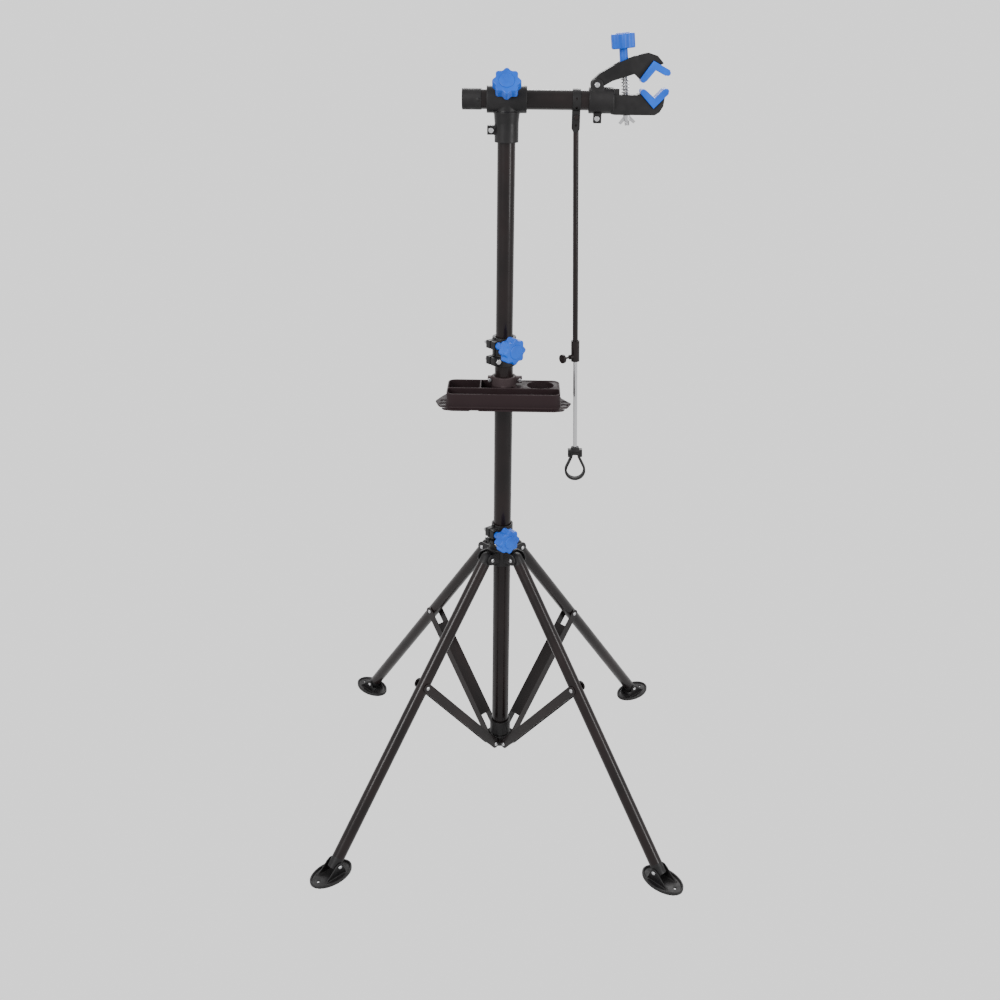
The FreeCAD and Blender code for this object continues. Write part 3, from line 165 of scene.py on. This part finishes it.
def moulded_grain():
    """Fine spark-eroded grain with broad soft patches."""
    group, entry, leave = effect_group("Moulded grain", [("Fine", 900.0), ("Broad", 14.0)],
                                       ["Height", "Patches"])
    place = group.nodes.new("ShaderNodeTexCoord").outputs["Object"]
    fine = noise(group, place, entry.outputs["Fine"], 2.0).outputs["Fac"]
    broad = noise(group, place, entry.outputs["Broad"], 4.0).outputs["Fac"]
    group.links.new(fine, leave.inputs["Height"])
    group.links.new(remap(group, broad, 0.35, 0.65), leave.inputs["Patches"])
    return group


def handling_marks():
    """Thin short scratches and smudges from use."""
    group, entry, leave = effect_group("Handling marks", [("Scale", 60.0)], ["Scratches", "Smudges"])
    place = group.nodes.new("ShaderNodeTexCoord").outputs["Object"]
    stretch = group.nodes.new("ShaderNodeMapping")
    stretch.inputs["Rotation"].default_value = (0.4, 0.9, 0.3)
    stretch.inputs["Scale"].default_value = (1.0, 14.0, 1.0)
    group.links.new(place, stretch.inputs["Vector"])
    lines = noise(group, stretch.outputs["Vector"], entry.outputs["Scale"], 5.0, 0.6)
    smudge = noise(group, place, entry.outputs["Scale"], 3.0, 0.5)
    group.links.new(remap(group, lines.outputs["Fac"], 0.66, 0.74), leave.inputs["Scratches"])
    group.links.new(remap(group, smudge.outputs["Fac"], 0.4, 0.7), leave.inputs["Smudges"])
    return group


def drawn_lines():
    """Fine lines left along a drawn or turned metal piece."""
    group, entry, leave = effect_group("Drawn lines", [("Across", 1500.0), ("Along", 30.0)],
                                       ["Height", "Streaks"])
    place = group.nodes.new("ShaderNodeTexCoord").outputs["Object"]
    join = group.nodes.new("ShaderNodeCombineXYZ")
    group.links.new(entry.outputs["Across"], join.inputs["X"])
    group.links.new(entry.outputs["Across"], join.inputs["Y"])
    group.links.new(entry.outputs["Along"], join.inputs["Z"])
    stretch = group.nodes.new("ShaderNodeVectorMath")
    stretch.operation = "MULTIPLY"
    group.links.new(place, stretch.inputs[0])
    group.links.new(join.outputs["Vector"], stretch.inputs[1])
    streaks = noise(group, stretch.outputs["Vector"], 1.0, 2.0).outputs["Fac"]
    group.links.new(streaks, leave.inputs["Height"])
    group.links.new(remap(group, streaks, 0.3, 0.7), leave.inputs["Streaks"])
    return group


def rolled_thread():
    """Even ridges round a screw, a fixed step apart along its length."""
    group, entry, leave = effect_group("Rolled thread", [("Step", 700.0)], ["Height"])
    place = group.nodes.new("ShaderNodeTexCoord").outputs["Object"]
    split = group.nodes.new("ShaderNodeSeparateXYZ")
    group.links.new(place, split.inputs["Vector"])
    turns = math_node(group, "MULTIPLY", split.outputs["Z"], entry.outputs["Step"])
    ridge = math_node(group, "PINGPONG", turns, 0.5)
    group.links.new(ridge, leave.inputs["Height"])
    return group


GROUPS = {}
FINISHES = {}


def place_group(tree, key, **values):
    node = tree.nodes.new("ShaderNodeGroup")
    node.node_tree = GROUPS[key]
    for label, value in values.items():
        node.inputs[label.capitalize()].default_value = value
    return node


def blend_colours(tree, factor, one, other):
    node = tree.nodes.new("ShaderNodeMix")
    node.data_type = "RGBA"
    tree.links.new(factor, node.inputs["Factor"])
    node.inputs["A"].default_value = one
    node.inputs["B"].default_value = other
    return node.outputs["Result"]


def new_finish(name, metallic=0.0, coat=0.0, coat_rough=0.1, specular=0.5):
    material = bpy.data.materials.new(name)
    material.use_nodes = True
    shader = material.node_tree.nodes["Principled BSDF"]
    shader.inputs["Metallic"].default_value = metallic
    shader.inputs["Coat Weight"].default_value = coat
    shader.inputs["Coat Roughness"].default_value = coat_rough
    shader.inputs["Specular IOR Level"].default_value = specular
    return material, material.node_tree, shader


def add_bump(tree, shader, height, strength, distance):
    bump = tree.nodes.new("ShaderNodeBump")
    bump.inputs["Strength"].default_value = strength
    bump.inputs["Distance"].default_value = distance
    tree.links.new(height, bump.inputs["Height"])
    tree.links.new(bump.outputs["Normal"], shader.inputs["Normal"])


def gloss_enamel():
    """Stoved enamel: deep, a little wavy, warmer in broad patches."""
    material, tree, shader = new_finish("Gloss enamel", coat=0.14, coat_rough=0.10, specular=0.12)
    grain = place_group(tree, "grain", fine=260.0, broad=9.0)
    marks = place_group(tree, "marks", scale=45.0)
    base = blend_colours(tree, grain.outputs["Patches"], tint("enamel"), tint("enamel_warm"))
    tree.links.new(base, shader.inputs["Base Color"])
    rough = remap(tree, marks.outputs["Smudges"], 0.0, 1.0, 0.27, 0.40)
    scratched = math_node(tree, "ADD", rough, math_node(tree, "MULTIPLY", marks.outputs["Scratches"], 0.12))
    tree.links.new(scratched, shader.inputs["Roughness"])
    add_bump(tree, shader, grain.outputs["Height"], 0.10, 0.0002)
    return material


def moulded_plastic(name, deep, pale, low_rough, high_rough, fine=1100.0, strength=0.16):
    material, tree, shader = new_finish(name, specular=0.18)
    grain = place_group(tree, "grain", fine=fine, broad=22.0)
    marks = place_group(tree, "marks", scale=80.0)
    base = blend_colours(tree, grain.outputs["Patches"], tint(deep), tint(pale))
    tree.links.new(base, shader.inputs["Base Color"])
    rough = remap(tree, marks.outputs["Smudges"], 0.0, 1.0, low_rough, high_rough)
    tree.links.new(rough, shader.inputs["Roughness"])
    add_bump(tree, shader, grain.outputs["Height"], strength, 0.0002)
    return material


def tray_plastic():
    """Brown black tray plastic, paler and rubbed along its upper rims."""
    material, tree, shader = new_finish("Tray plastic", specular=0.12)
    low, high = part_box("tray")
    grain = place_group(tree, "grain", fine=800.0, broad=16.0)
    marks = place_group(tree, "marks", scale=70.0)
    place = tree.nodes.new("ShaderNodeTexCoord").outputs["Object"]
    split = tree.nodes.new("ShaderNodeSeparateXYZ")
    tree.links.new(place, split.inputs["Vector"])
    rim = low.z + (high.z - low.z) * 0.60
    edge = remap(tree, split.outputs["Z"], rim, rim + 0.003)
    rubbed = math_node(tree, "MULTIPLY", edge, remap(tree, grain.outputs["Patches"], 0.0, 1.0, 0.5, 1.0))
    base = blend_colours(tree, rubbed, tint("tray"), tint("tray_rim"))
    tree.links.new(base, shader.inputs["Base Color"])
    rough = remap(tree, marks.outputs["Smudges"], 0.0, 1.0, 0.56, 0.72)
    tree.links.new(rough, shader.inputs["Roughness"])
    add_bump(tree, shader, grain.outputs["Height"], 0.08, 0.0002)
    return material


def plated_metal(name, base_name, low_rough, high_rough, across=900.0, along=900.0):
    material, tree, shader = new_finish(name, metallic=1.0)
    lines = place_group(tree, "lines", across=across, along=along)
    dull = tuple(value * 0.72 for value in tint(base_name)[:3]) + (1.0,)
    base = blend_colours(tree, lines.outputs["Streaks"], dull, tint(base_name))
    tree.links.new(base, shader.inputs["Base Color"])
    rough = remap(tree, lines.outputs["Streaks"], 0.0, 1.0, high_rough, low_rough)
    tree.links.new(rough, shader.inputs["Roughness"])
    add_bump(tree, shader, lines.outputs["Height"], 0.12, 0.0001)
    return material


def threaded_metal():
    """Zinc-plated screw with a rolled thread."""
    material, tree, shader = new_finish("Threaded zinc", metallic=1.0)
    thread = place_group(tree, "thread", step=640.0)
    lines = place_group(tree, "lines", across=900.0, along=900.0)
    dull = tuple(value * 0.45 for value in tint("zinc")[:3]) + (1.0,)
    ridge = remap(tree, thread.outputs["Height"], 0.0, 0.35)
    tree.links.new(blend_colours(tree, ridge, dull, tint("zinc")), shader.inputs["Base Color"])
    rough = remap(tree, lines.outputs["Streaks"], 0.0, 1.0, 0.42, 0.28)
    tree.links.new(rough, shader.inputs["Roughness"])
    add_bump(tree, shader, thread.outputs["Height"], 0.8, 0.0012)
    return material


class REPAIRSTAND_OT_finishes(bpy.types.Operator):
    """Make the stand's finishes and give one to each piece of the frame"""
    bl_idname = "repair_stand.finishes"
    bl_label = "Finishes"

    def execute(self, context):
        GROUPS.update(grain=moulded_grain(), marks=handling_marks(), lines=drawn_lines(),
                      thread=rolled_thread())
        FINISHES.update(
            black_paint=gloss_enamel(),
            blue_plastic=moulded_plastic("Blue plastic", "blue_deep", "blue", 0.36, 0.48),
            black_plastic=moulded_plastic("Black plastic", "black", "black_pale", 0.42, 0.60),
            black_casting=moulded_plastic("Black casting", "black", "black_pale", 0.36, 0.52, 700.0),
            tray_plastic=tray_plastic(),
            zinc_steel=plated_metal("Zinc plate", "zinc", 0.24, 0.40),
            bright_rod=plated_metal("Drawn steel", "bright", 0.16, 0.28, 2200.0, 20.0),
            black_rubber=moulded_plastic("Rubber", "rubber", "black_pale", 0.58, 0.75, 500.0, 0.25))
        slots = {part["node"]: part["material_slot"] for part in frame["record"]["subparts"]}
        for name, node in frame["nodes"].items():
            finish = threaded_metal() if name == "clamp_screw" else FINISHES[slots[name]]
            for slot in node.material_slots:
                slot.material = finish
        return {"FINISHED"}


# ------------------------------------------------------------------ modelling helpers

def activate(piece):
    """Select and make active one piece alone, in object mode."""
    if bpy.context.mode != "OBJECT":
        bpy.ops.object.mode_set(mode="OBJECT")
    bpy.ops.object.select_all(action="DESELECT")
    piece.select_set(True)
    bpy.context.view_layer.objects.active = piece


def added(name):
    """The object that a primitive operator has just added, under its own name."""
    piece = bpy.context.active_object
    piece.name = name
    piece.data.name = name
    return piece


def clear_selection():
    if bpy.context.mode != "OBJECT":
        bpy.ops.object.mode_set(mode="OBJECT")
    bpy.ops.object.select_all(action="DESELECT")


def pick(piece, what, test):
    """In edit mode, select the vertices or faces that pass a test, and nothing else."""
    bpy.ops.object.mode_set(mode="EDIT")
    bpy.ops.mesh.select_mode(type="VERT" if what == "vertices" else "FACE")
    bpy.ops.mesh.select_all(action="DESELECT")
    bpy.ops.object.mode_set(mode="OBJECT")
    if what == "vertices":
        for vertex in piece.data.vertices:
            vertex.select = test(vertex.co)
    else:
        for face in piece.data.polygons:
            face.select = test(face)
    bpy.ops.object.mode_set(mode="EDIT")


def leave_edit():
    bpy.ops.object.mode_set(mode="OBJECT")


def apply_modifier(piece, kind, **settings):
    modifier = piece.modifiers.new(kind.title(), kind)
    for key, value in settings.items():
        setattr(modifier, key, value)
    activate(piece)
    bpy.ops.object.modifier_apply(modifier=modifier.name)


def round_edges(piece, width, segments=3, angle=35.0):
    apply_modifier(piece, "BEVEL", width=width, segments=segments, limit_method="ANGLE",
                   angle_limit=math.radians(angle), harden_normals=False)


def face_outwards(piece):
    activate(piece)
    bpy.ops.object.mode_set(mode="EDIT")
    bpy.ops.mesh.select_all(action="SELECT")
    bpy.ops.mesh.remove_doubles(threshold=0.00002)
    bpy.ops.mesh.normals_make_consistent(inside=False)
    leave_edit()


def smooth(piece, angle=32.0):
    activate(piece)
    bpy.ops.object.shade_smooth_by_angle(angle=math.radians(angle))


def join(pieces, name):
    clear_selection()
    for piece in pieces:
        piece.select_set(True)
    bpy.context.view_layer.objects.active = pieces[0]
    bpy.ops.object.join()
    return added(name)


def settle(piece, place=None):
    """Put the piece's place into its mesh, so that the object itself sits at the origin."""
    piece.data.transform((place or Matrix.Identity(4)) @ piece.matrix_basis)
    piece.matrix_basis = Matrix.Identity(4)


def along(joint_name, flip=1.0):
    """Frame at a joint: its Z axis runs along the joint's axis."""
    joint = JOINTS[joint_name]
    axis = Vector(joint["axis"]) * flip
    turn = axis.to_track_quat("Z", "Y").to_matrix().to_4x4()
    return Matrix.Translation(Vector(joint["pos_m"])) @ turn


def finish_piece(piece, body, slot, *nodes):
    """Give the piece its finish, tie it to its body and let it stand for its nodes."""
    piece.data.materials.clear()
    piece.data.materials.append(FINISHES[slot])
    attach(piece, body)
    if nodes:
        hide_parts(*nodes)


def body_of(node):
    for body, names in frame["record"]["behaviour"]["bodies"].items():
        if node in names:
            return body
    raise ValueError("no body holds " + node)


def slot_of(node):
    return next(part["material_slot"] for part in frame["record"]["subparts"]
                if part["node"] == node)


def copied(node, name):
    """A copy of a frame node's mesh with its loose triangles merged."""
    piece = bpy.data.objects.new(name, frame["nodes"][node].data.copy())
    bpy.context.collection.objects.link(piece)
    activate(piece)
    bpy.ops.object.mode_set(mode="EDIT")
    bpy.ops.mesh.select_all(action="SELECT")
    bpy.ops.mesh.remove_doubles(threshold=0.000005)
    leave_edit()
    return piece


def moulded_copy(node, skin, rounds=4):
    """A frame node with the soft edges and fillets of a moulding."""
    piece = copied(node, node + "_moulding")
    apply_modifier(piece, "REMESH", mode="VOXEL", voxel_size=skin, use_smooth_shade=True)
    apply_modifier(piece, "SMOOTH", factor=0.5, iterations=rounds)
    finish_piece(piece, body_of(node), slot_of(node), node)
    return piece


def rod_piece(name, width, start, end, sides=32, bevel=0.0006):
    """A plain turned pin along Z with broken edges."""
    clear_selection()
    bpy.ops.mesh.primitive_cylinder_add(vertices=sides, radius=width / 2, depth=end - start,
                                        location=(0.0, 0.0, (start + end) / 2))
    piece = added(name)
    settle(piece)
    round_edges(piece, bevel, 2)
    return piece


# ------------------------------------------------------------------ pieces

def lobed_grip(name, width, thick, lobes, depth, crown):
    """Star-shaped grip: a disc whose side is drawn in between its lobes, with a raised crown."""
    per_lobe = 12
    clear_selection()
    bpy.ops.mesh.primitive_cylinder_add(vertices=lobes * per_lobe, radius=width / 2, depth=thick,
                                        location=(0.0, 0.0, thick / 2))
    piece = added(name)
    settle(piece)
    for step in range(per_lobe):
        wave = 0.5 - 0.5 * math.cos(2 * math.pi * step / per_lobe)
        pull = 1.0 - depth * wave

        def on_step(point, wanted=step):
            turn = math.atan2(point.y, point.x) / (2 * math.pi) * lobes * per_lobe
            return round(turn) % per_lobe == wanted

        pick(piece, "vertices", on_step)
        bpy.ops.transform.resize(value=(pull, pull, 1.0), center_override=(0.0, 0.0, 0.0))
    leave_edit()
    round_edges(piece, width * 0.05, 4, 30.0)
    clear_selection()
    bpy.ops.mesh.primitive_cylinder_add(vertices=64, radius=width * 0.27, depth=crown + 0.002,
                                        location=(0.0, 0.0, thick + crown / 2 - 0.001))
    middle = added(name + "_middle")
    settle(middle)
    round_edges(middle, crown * 0.9, 4, 30.0)
    return join([piece, middle], name)


# Distances from each knob's joint, along its axis: stem's foot, grip's foot, stud's far end.
STAR_KNOBS = {
    "mid_knob": (0.0133, 0.044, -0.024),
    "hub_knob": (0.0133, 0.036, -0.024),
    "tee_knob": (0.0273, 0.038, 0.0173),
}


class REPAIRSTAND_OT_star_knobs(bpy.types.Operator):
    """Model the three blue star knobs with their stems and studs"""
    bl_idname = "repair_stand.star_knobs"
    bl_label = "Star Knobs"

    def execute(self, context):
        made = sizes()
        for node, (stem_low, head_low, stud_low) in STAR_KNOBS.items():
            joint = node + "_spin"
            grip = lobed_grip(node + "_grip", made.knob_width, made.knob_thick, 8,
                              made.lobe_depth, made.knob_crown)
            grip.data.transform(Matrix.Translation((0.0, 0.0, head_low)))
            stem = rod_piece(node + "_stem", made.knob_stem, stem_low, head_low + 0.006, 40, 0.001)
            knob = join([grip, stem], node + "_star")
            settle(knob, along(joint))
            smooth(knob)
            finish_piece(knob, node, "blue_plastic", node)
            stud = rod_piece(node + "_stud", made.stud_width, stud_low, head_low + 0.004)
            settle(stud, along(joint))
            smooth(stud)
            finish_piece(stud, node, "zinc_steel")
        return {"FINISHED"}


class REPAIRSTAND_OT_clamp_knob(bpy.types.Operator):
    """Model the clamp's knob with its long stem"""
    bl_idname = "repair_stand.clamp_knob"
    bl_label = "Clamp Knob"

    def execute(self, context):
        made = sizes()
        grip = lobed_grip("clamp_grip", made.clamp_knob_width, made.clamp_knob_thick, 6,
                          made.lobe_depth * 1.1, made.knob_crown * 0.8)
        grip.data.transform(Matrix.Translation((0.0, 0.0, made.clamp_stem_long)))
        stem = rod_piece("clamp_stem", made.clamp_stem, 0.0, made.clamp_stem_long + 0.005, 40, 0.0012)
        knob = join([grip, stem], "clamp_knob_star")
        settle(knob, along("clamp_knob_spin"))
        smooth(knob)
        finish_piece(knob, "clamp_knob", "blue_plastic", "clamp_knob")
        return {"FINISHED"}


def domed_head(name, width, high, rim):
    """Low domed rivet head standing on Z = 0, with a thin flat rim."""
    clear_selection()
    bpy.ops.mesh.primitive_uv_sphere_add(segments=36, ring_count=18, radius=width / 2)
    piece = added(name)
    settle(piece)
    bpy.ops.object.mode_set(mode="EDIT")
    bpy.ops.mesh.select_all(action="SELECT")
    bpy.ops.mesh.bisect(plane_co=(0.0, 0.0, 0.0), plane_no=(0.0, 0.0, -1.0), use_fill=True,
                        clear_outer=True)
    leave_edit()
    squeeze = (high - rim) / (width / 2)
    piece.data.transform(Matrix.Translation((0.0, 0.0, rim)) @ Matrix.Diagonal((1.0, 1.0, squeeze, 1.0)))
    pick(piece, "faces", lambda face: face.normal.z < -0.9)
    bpy.ops.mesh.extrude_region_move()
    bpy.ops.transform.translate(value=(0.0, 0.0, -rim))
    leave_edit()
    face_outwards(piece)
    return piece


def rivet(name, width, high, grip):
    """Rivet along Z, centred: a shank and a domed head at each end."""
    shank = rod_piece(name + "_shank", 0.005, -grip / 2, grip / 2, 24, 0.0002)
    head = domed_head(name + "_head", width, high, 0.0005)
    head.data.transform(Matrix.Translation((0.0, 0.0, grip / 2)))
    tail = domed_head(name + "_tail", width, high, 0.0005)
    tail.data.transform(Matrix.Translation((0.0, 0.0, -grip / 2)) @ Matrix.Rotation(math.pi, 4, "X"))
    return join([shank, head, tail], name)


def repeat(first, places, name):
    """Copies of a piece at each place, each with its own mesh, joined in one object."""
    copies = []
    for place in places:
        piece = first.copy()
        piece.data = first.data.copy()
        bpy.context.collection.objects.link(piece)
        piece.data.transform(place)
        copies.append(piece)
    bpy.data.objects.remove(first)
    return join(copies, name)


RIVET_HEAD = 0.0084
RIVET_HIGH = 0.0022
BASE_GRIP = 0.0296
HUB_GRIP = 0.0342
FOOT_GRIP = 0.0318
CAP_WIDTH = 0.020
CAP_HIGH = 0.004
STRUT_HALF = 0.0145


class REPAIRSTAND_OT_rivets(bpy.types.Operator):
    """Model the domed rivets of the folding base"""
    bl_idname = "repair_stand.rivets"
    bl_label = "Rivets"

    def execute(self, context):
        base = rivet("base_rivet", RIVET_HEAD, RIVET_HIGH, BASE_GRIP)
        base = repeat(base, [along("strut_fold_" + side) for side in SIDES], "base_rivets_domed")
        hub = rivet("hub_rivet", RIVET_HEAD, RIVET_HIGH, HUB_GRIP)
        hub = repeat(hub, [along("leg_fold_" + side) for side in SIDES], "hub_rivets_domed")
        for piece, body, node in ((base, "mast", "base_rivets"), (hub, "hub", "hub_rivets")):
            smooth(piece)
            finish_piece(piece, body, "zinc_steel", node)
        for side in SIDES:
            foot = rivet("foot_rivet_domed_" + side, RIVET_HEAD, RIVET_HIGH, FOOT_GRIP)
            settle(foot, along("foot_tilt_" + side))
            smooth(foot)
            finish_piece(foot, "leg_" + side, "zinc_steel", "foot_rivet_" + side)
            self.strut_end(side)
        return {"FINISHED"}

    def strut_end(self, side):
        """Steel head on the strut's near wall and a black cap on its far wall."""
        low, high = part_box("strut_rivets_" + side)
        out = Vector(JOINTS["strut_fold_" + side]["pos_m"]) * Vector((1.0, 1.0, 0.0))
        across = Vector((0.0, 0.0, 1.0)).cross(out).normalized()
        if across.y > 0.0:
            across = -across
        centre = (low + high) / 2
        centre.x, centre.y = self.on_line(centre, out)
        facing = across.to_track_quat("Z", "Y").to_matrix().to_4x4()
        back = (-across).to_track_quat("Z", "Y").to_matrix().to_4x4()
        head = domed_head("strut_head_" + side, RIVET_HEAD, RIVET_HIGH, 0.0005)
        head.data.transform(Matrix.Translation(centre + across * STRUT_HALF) @ facing)
        smooth(head)
        finish_piece(head, "strut_" + side, "zinc_steel", "strut_rivets_" + side)
        cap = domed_head("strut_cap_" + side, CAP_WIDTH, CAP_HIGH, 0.0012)
        cap.data.transform(Matrix.Translation(centre - across * STRUT_HALF) @ back)
        smooth(cap)
        finish_piece(cap, "strut_" + side, "black_plastic")

    def on_line(self, point, out):
        """The point's foot on the upright plane through the mast and the strut."""
        away = out.normalized()
        reach = point.x * away.x + point.y * away.y
        return away.x * reach, away.y * reach


class REPAIRSTAND_OT_castings(bpy.types.Operator):
    """Give the collars, hub, tee and clamp castings their moulded skins"""
    bl_idname = "repair_stand.castings"
    bl_label = "Castings"

    def execute(self, context):
        skin = sizes().cast_skin
        for node in ("tee_joint", "clamp_body", "upper_jaw", "leg_hub", "mid_collar",
                     "base_collar", "arm_cap"):
            moulded_copy(node, skin)
        for node in ("upper_pad", "lower_pad", "loop_yoke", "loop_strap"):
            moulded_copy(node, skin * 0.75, 6)
        return {"FINISHED"}


class REPAIRSTAND_OT_hardware(bpy.types.Operator):
    """Round the edges of the bolts, the jaw pin, the thumb screw and the hanger strap"""
    bl_idname = "repair_stand.hardware"
    bl_label = "Hardware"

    def execute(self, context):
        skin = sizes().steel_skin
        for node in ("jaw_pin", "clamp_bolt", "tee_bolt", "hub_bolts", "hanger_bolt",
                     "mid_collar_bolts", "tray_screws", "thumb_screw", "hanger_strap"):
            moulded_copy(node, skin)
        return {"FINISHED"}


class REPAIRSTAND_OT_tray(bpy.types.Operator):
    """Give the tool tray its moulded skin"""
    bl_idname = "repair_stand.tray"
    bl_label = "Tray"

    def execute(self, context):
        moulded_copy("tray", sizes().tray_skin, 2)
        return {"FINISHED"}


class REPAIRSTAND_OT_feet(bpy.types.Operator):
    """Give the four feet their moulded skins"""
    bl_idname = "repair_stand.feet"
    bl_label = "Feet"

    def execute(self, context):
        for side in SIDES:
            moulded_copy("foot_" + side, sizes().foot_skin, 4)
        return {"FINISHED"}


# ------------------------------------------------------------------ stage

CAMERA_AWAY = 2.0239
CAMERA_UP = 1.5786
CAMERA_TURN = -0.011106
CAMERA_PITCH = 0.39394
CAMERA_ROLL = 0.010984
CAMERA_FOCUS = 1.1078      # focal length as a share of the frame's width
CAMERA_SHIFT = (-0.00284, -0.03232)
SENSOR = 36.0


# Each step of the sweep: how much wider than the last, and how much higher.
FLOOR_SWEEP = ((1.10, 0.02), (1.09, 0.09), (1.08, 0.22), (1.07, 0.42), (1.06, 0.7), (1.04, 1.0),
               (1.03, 1.3), (1.02, 1.6))


def add_camera():
    data = bpy.data.cameras.new("Camera")
    camera = bpy.data.objects.new("Camera", data)
    bpy.context.collection.objects.link(camera)
    data.sensor_width = SENSOR
    data.lens = SENSOR * CAMERA_FOCUS
    data.shift_x, data.shift_y = CAMERA_SHIFT
    data.clip_end = 60.0
    turn = Matrix.Rotation(-CAMERA_TURN, 3, "Z")
    right = turn @ Vector((1.0, 0.0, 0.0))
    ahead = turn @ Vector((0.0, math.cos(CAMERA_PITCH), -math.sin(CAMERA_PITCH)))
    above = right.cross(ahead)
    across = right * math.cos(CAMERA_ROLL) + above * math.sin(CAMERA_ROLL)
    above = above * math.cos(CAMERA_ROLL) - right * math.sin(CAMERA_ROLL)
    axes = Matrix((across, above, -ahead)).transposed().to_4x4()
    place = turn @ Vector((0.0, -CAMERA_AWAY, 0.0))
    camera.matrix_world = Matrix.Translation((place.x, place.y, CAMERA_UP)) @ axes
    bpy.context.scene.camera = camera


# Name, place, the point it faces, width, height in metres, and power in watts.
SOFTBOXES = (
    ("Key", (-2.2, -2.6, 2.9), (0.0, 0.0, 0.8), 1.2, 2.4, 190.0),
    ("Fill", (2.8, -2.0, 1.8), (0.0, 0.0, 0.8), 0.9, 2.6, 110.0),
    ("Back", (0.4, 2.8, 3.0), (0.0, 0.0, 0.9), 2.4, 1.6, 120.0),
)
FLOOR_RADIUS = 6.0
FLOOR_GLOW = 0.5
WORLD_STRENGTH = 1.35


def add_softbox(name, place, target, width, height, power):
    data = bpy.data.lights.new(name, "AREA")
    data.shape = "RECTANGLE"
    data.size = width
    data.size_y = height
    data.energy = power
    light = bpy.data.objects.new(name, data)
    bpy.context.collection.objects.link(light)
    aim = Vector(target) - Vector(place)
    light.matrix_world = Matrix.Translation(place) @ aim.to_track_quat("-Z", "Y").to_matrix().to_4x4()


def add_floor():
    """Pale floor that sweeps up into a low round wall far from the stand."""
    clear_selection()
    bpy.ops.mesh.primitive_circle_add(vertices=96, radius=FLOOR_RADIUS, fill_type="NOTHING")
    floor = added("floor")
    bpy.ops.object.mode_set(mode="EDIT")
    bpy.ops.mesh.select_all(action="SELECT")
    for spread, lift in FLOOR_SWEEP:
        bpy.ops.mesh.extrude_region_move()
        bpy.ops.transform.translate(value=(0.0, 0.0, lift))
        bpy.ops.transform.resize(value=(spread, spread, 1.0), center_override=(0.0, 0.0, 0.0))
    leave_edit()
    pick(floor, "vertices", lambda point: point.xy.length < FLOOR_RADIUS * 1.002 and point.z < 0.001)
    bpy.ops.mesh.edge_face_add()
    leave_edit()
    smooth(floor, 60.0)
    material, tree, shader = new_finish("Studio floor")
    patches = place_group(tree, "grain", fine=30.0, broad=0.8)
    near = tuple(value * 0.985 for value in tint("floor")[:3]) + (1.0,)
    tree.links.new(blend_colours(tree, patches.outputs["Patches"], near, tint("floor")),
                   shader.inputs["Base Color"])
    shader.inputs["Roughness"].default_value = 0.9
    shader.inputs["Emission Color"].default_value = (1.0, 1.0, 1.0, 1.0)
    shader.inputs["Emission Strength"].default_value = FLOOR_GLOW
    floor.data.materials.append(material)


class REPAIRSTAND_OT_stage(bpy.types.Operator):
    """Set up the pale floor, the soft studio lights and the camera"""
    bl_idname = "repair_stand.stage"
    bl_label = "Stage"

    def execute(self, context):
        add_floor()
        for box in SOFTBOXES:
            add_softbox(*box)
        world = bpy.data.worlds.new("Studio")
        world.use_nodes = True
        world.node_tree.nodes["Background"].inputs["Color"].default_value = (1.0, 1.0, 1.0, 1.0)
        world.node_tree.nodes["Background"].inputs["Strength"].default_value = WORLD_STRENGTH
        context.scene.world = world
        add_camera()
        return {"FINISHED"}


class REPAIRSTAND_PT_panel(bpy.types.Panel):
    """Sidebar panel that lists the stand's sizes, colours and building steps"""
    bl_idname = "REPAIRSTAND_PT_panel"
    bl_label = "Repair Stand"
    bl_space_type = "VIEW_3D"
    bl_region_type = "UI"
    bl_category = "Repair Stand"

    def draw(self, context):
        for step in STEPS:
            self.layout.operator(step.bl_idname)
        for group in (context.scene.repair_stand_sizes, context.scene.repair_stand_colours):
            box = self.layout.box()
            for name in group.__annotations__:
                box.prop(group, name)


STEPS = (REPAIRSTAND_OT_finishes, REPAIRSTAND_OT_star_knobs, REPAIRSTAND_OT_clamp_knob,
         REPAIRSTAND_OT_rivets, REPAIRSTAND_OT_castings, REPAIRSTAND_OT_hardware,
         REPAIRSTAND_OT_tray, REPAIRSTAND_OT_feet, REPAIRSTAND_OT_stage)
CLASSES = (RepairStandSizes, RepairStandColours, *STEPS, REPAIRSTAND_PT_panel)


def register():
    for item in CLASSES:
        bpy.utils.register_class(item)
    bpy.types.Scene.repair_stand_sizes = bpy.props.PointerProperty(type=RepairStandSizes)
    bpy.types.Scene.repair_stand_colours = bpy.props.PointerProperty(type=RepairStandColours)


def unregister():
    del bpy.types.Scene.repair_stand_colours
    del bpy.types.Scene.repair_stand_sizes
    for item in reversed(CLASSES):
        bpy.utils.unregister_class(item)


def main():
    register()
    for step in STEPS:
        family, name = step.bl_idname.split(".")
        getattr(getattr(bpy.ops, family), name)()


if __name__ == "__main__":
    main()
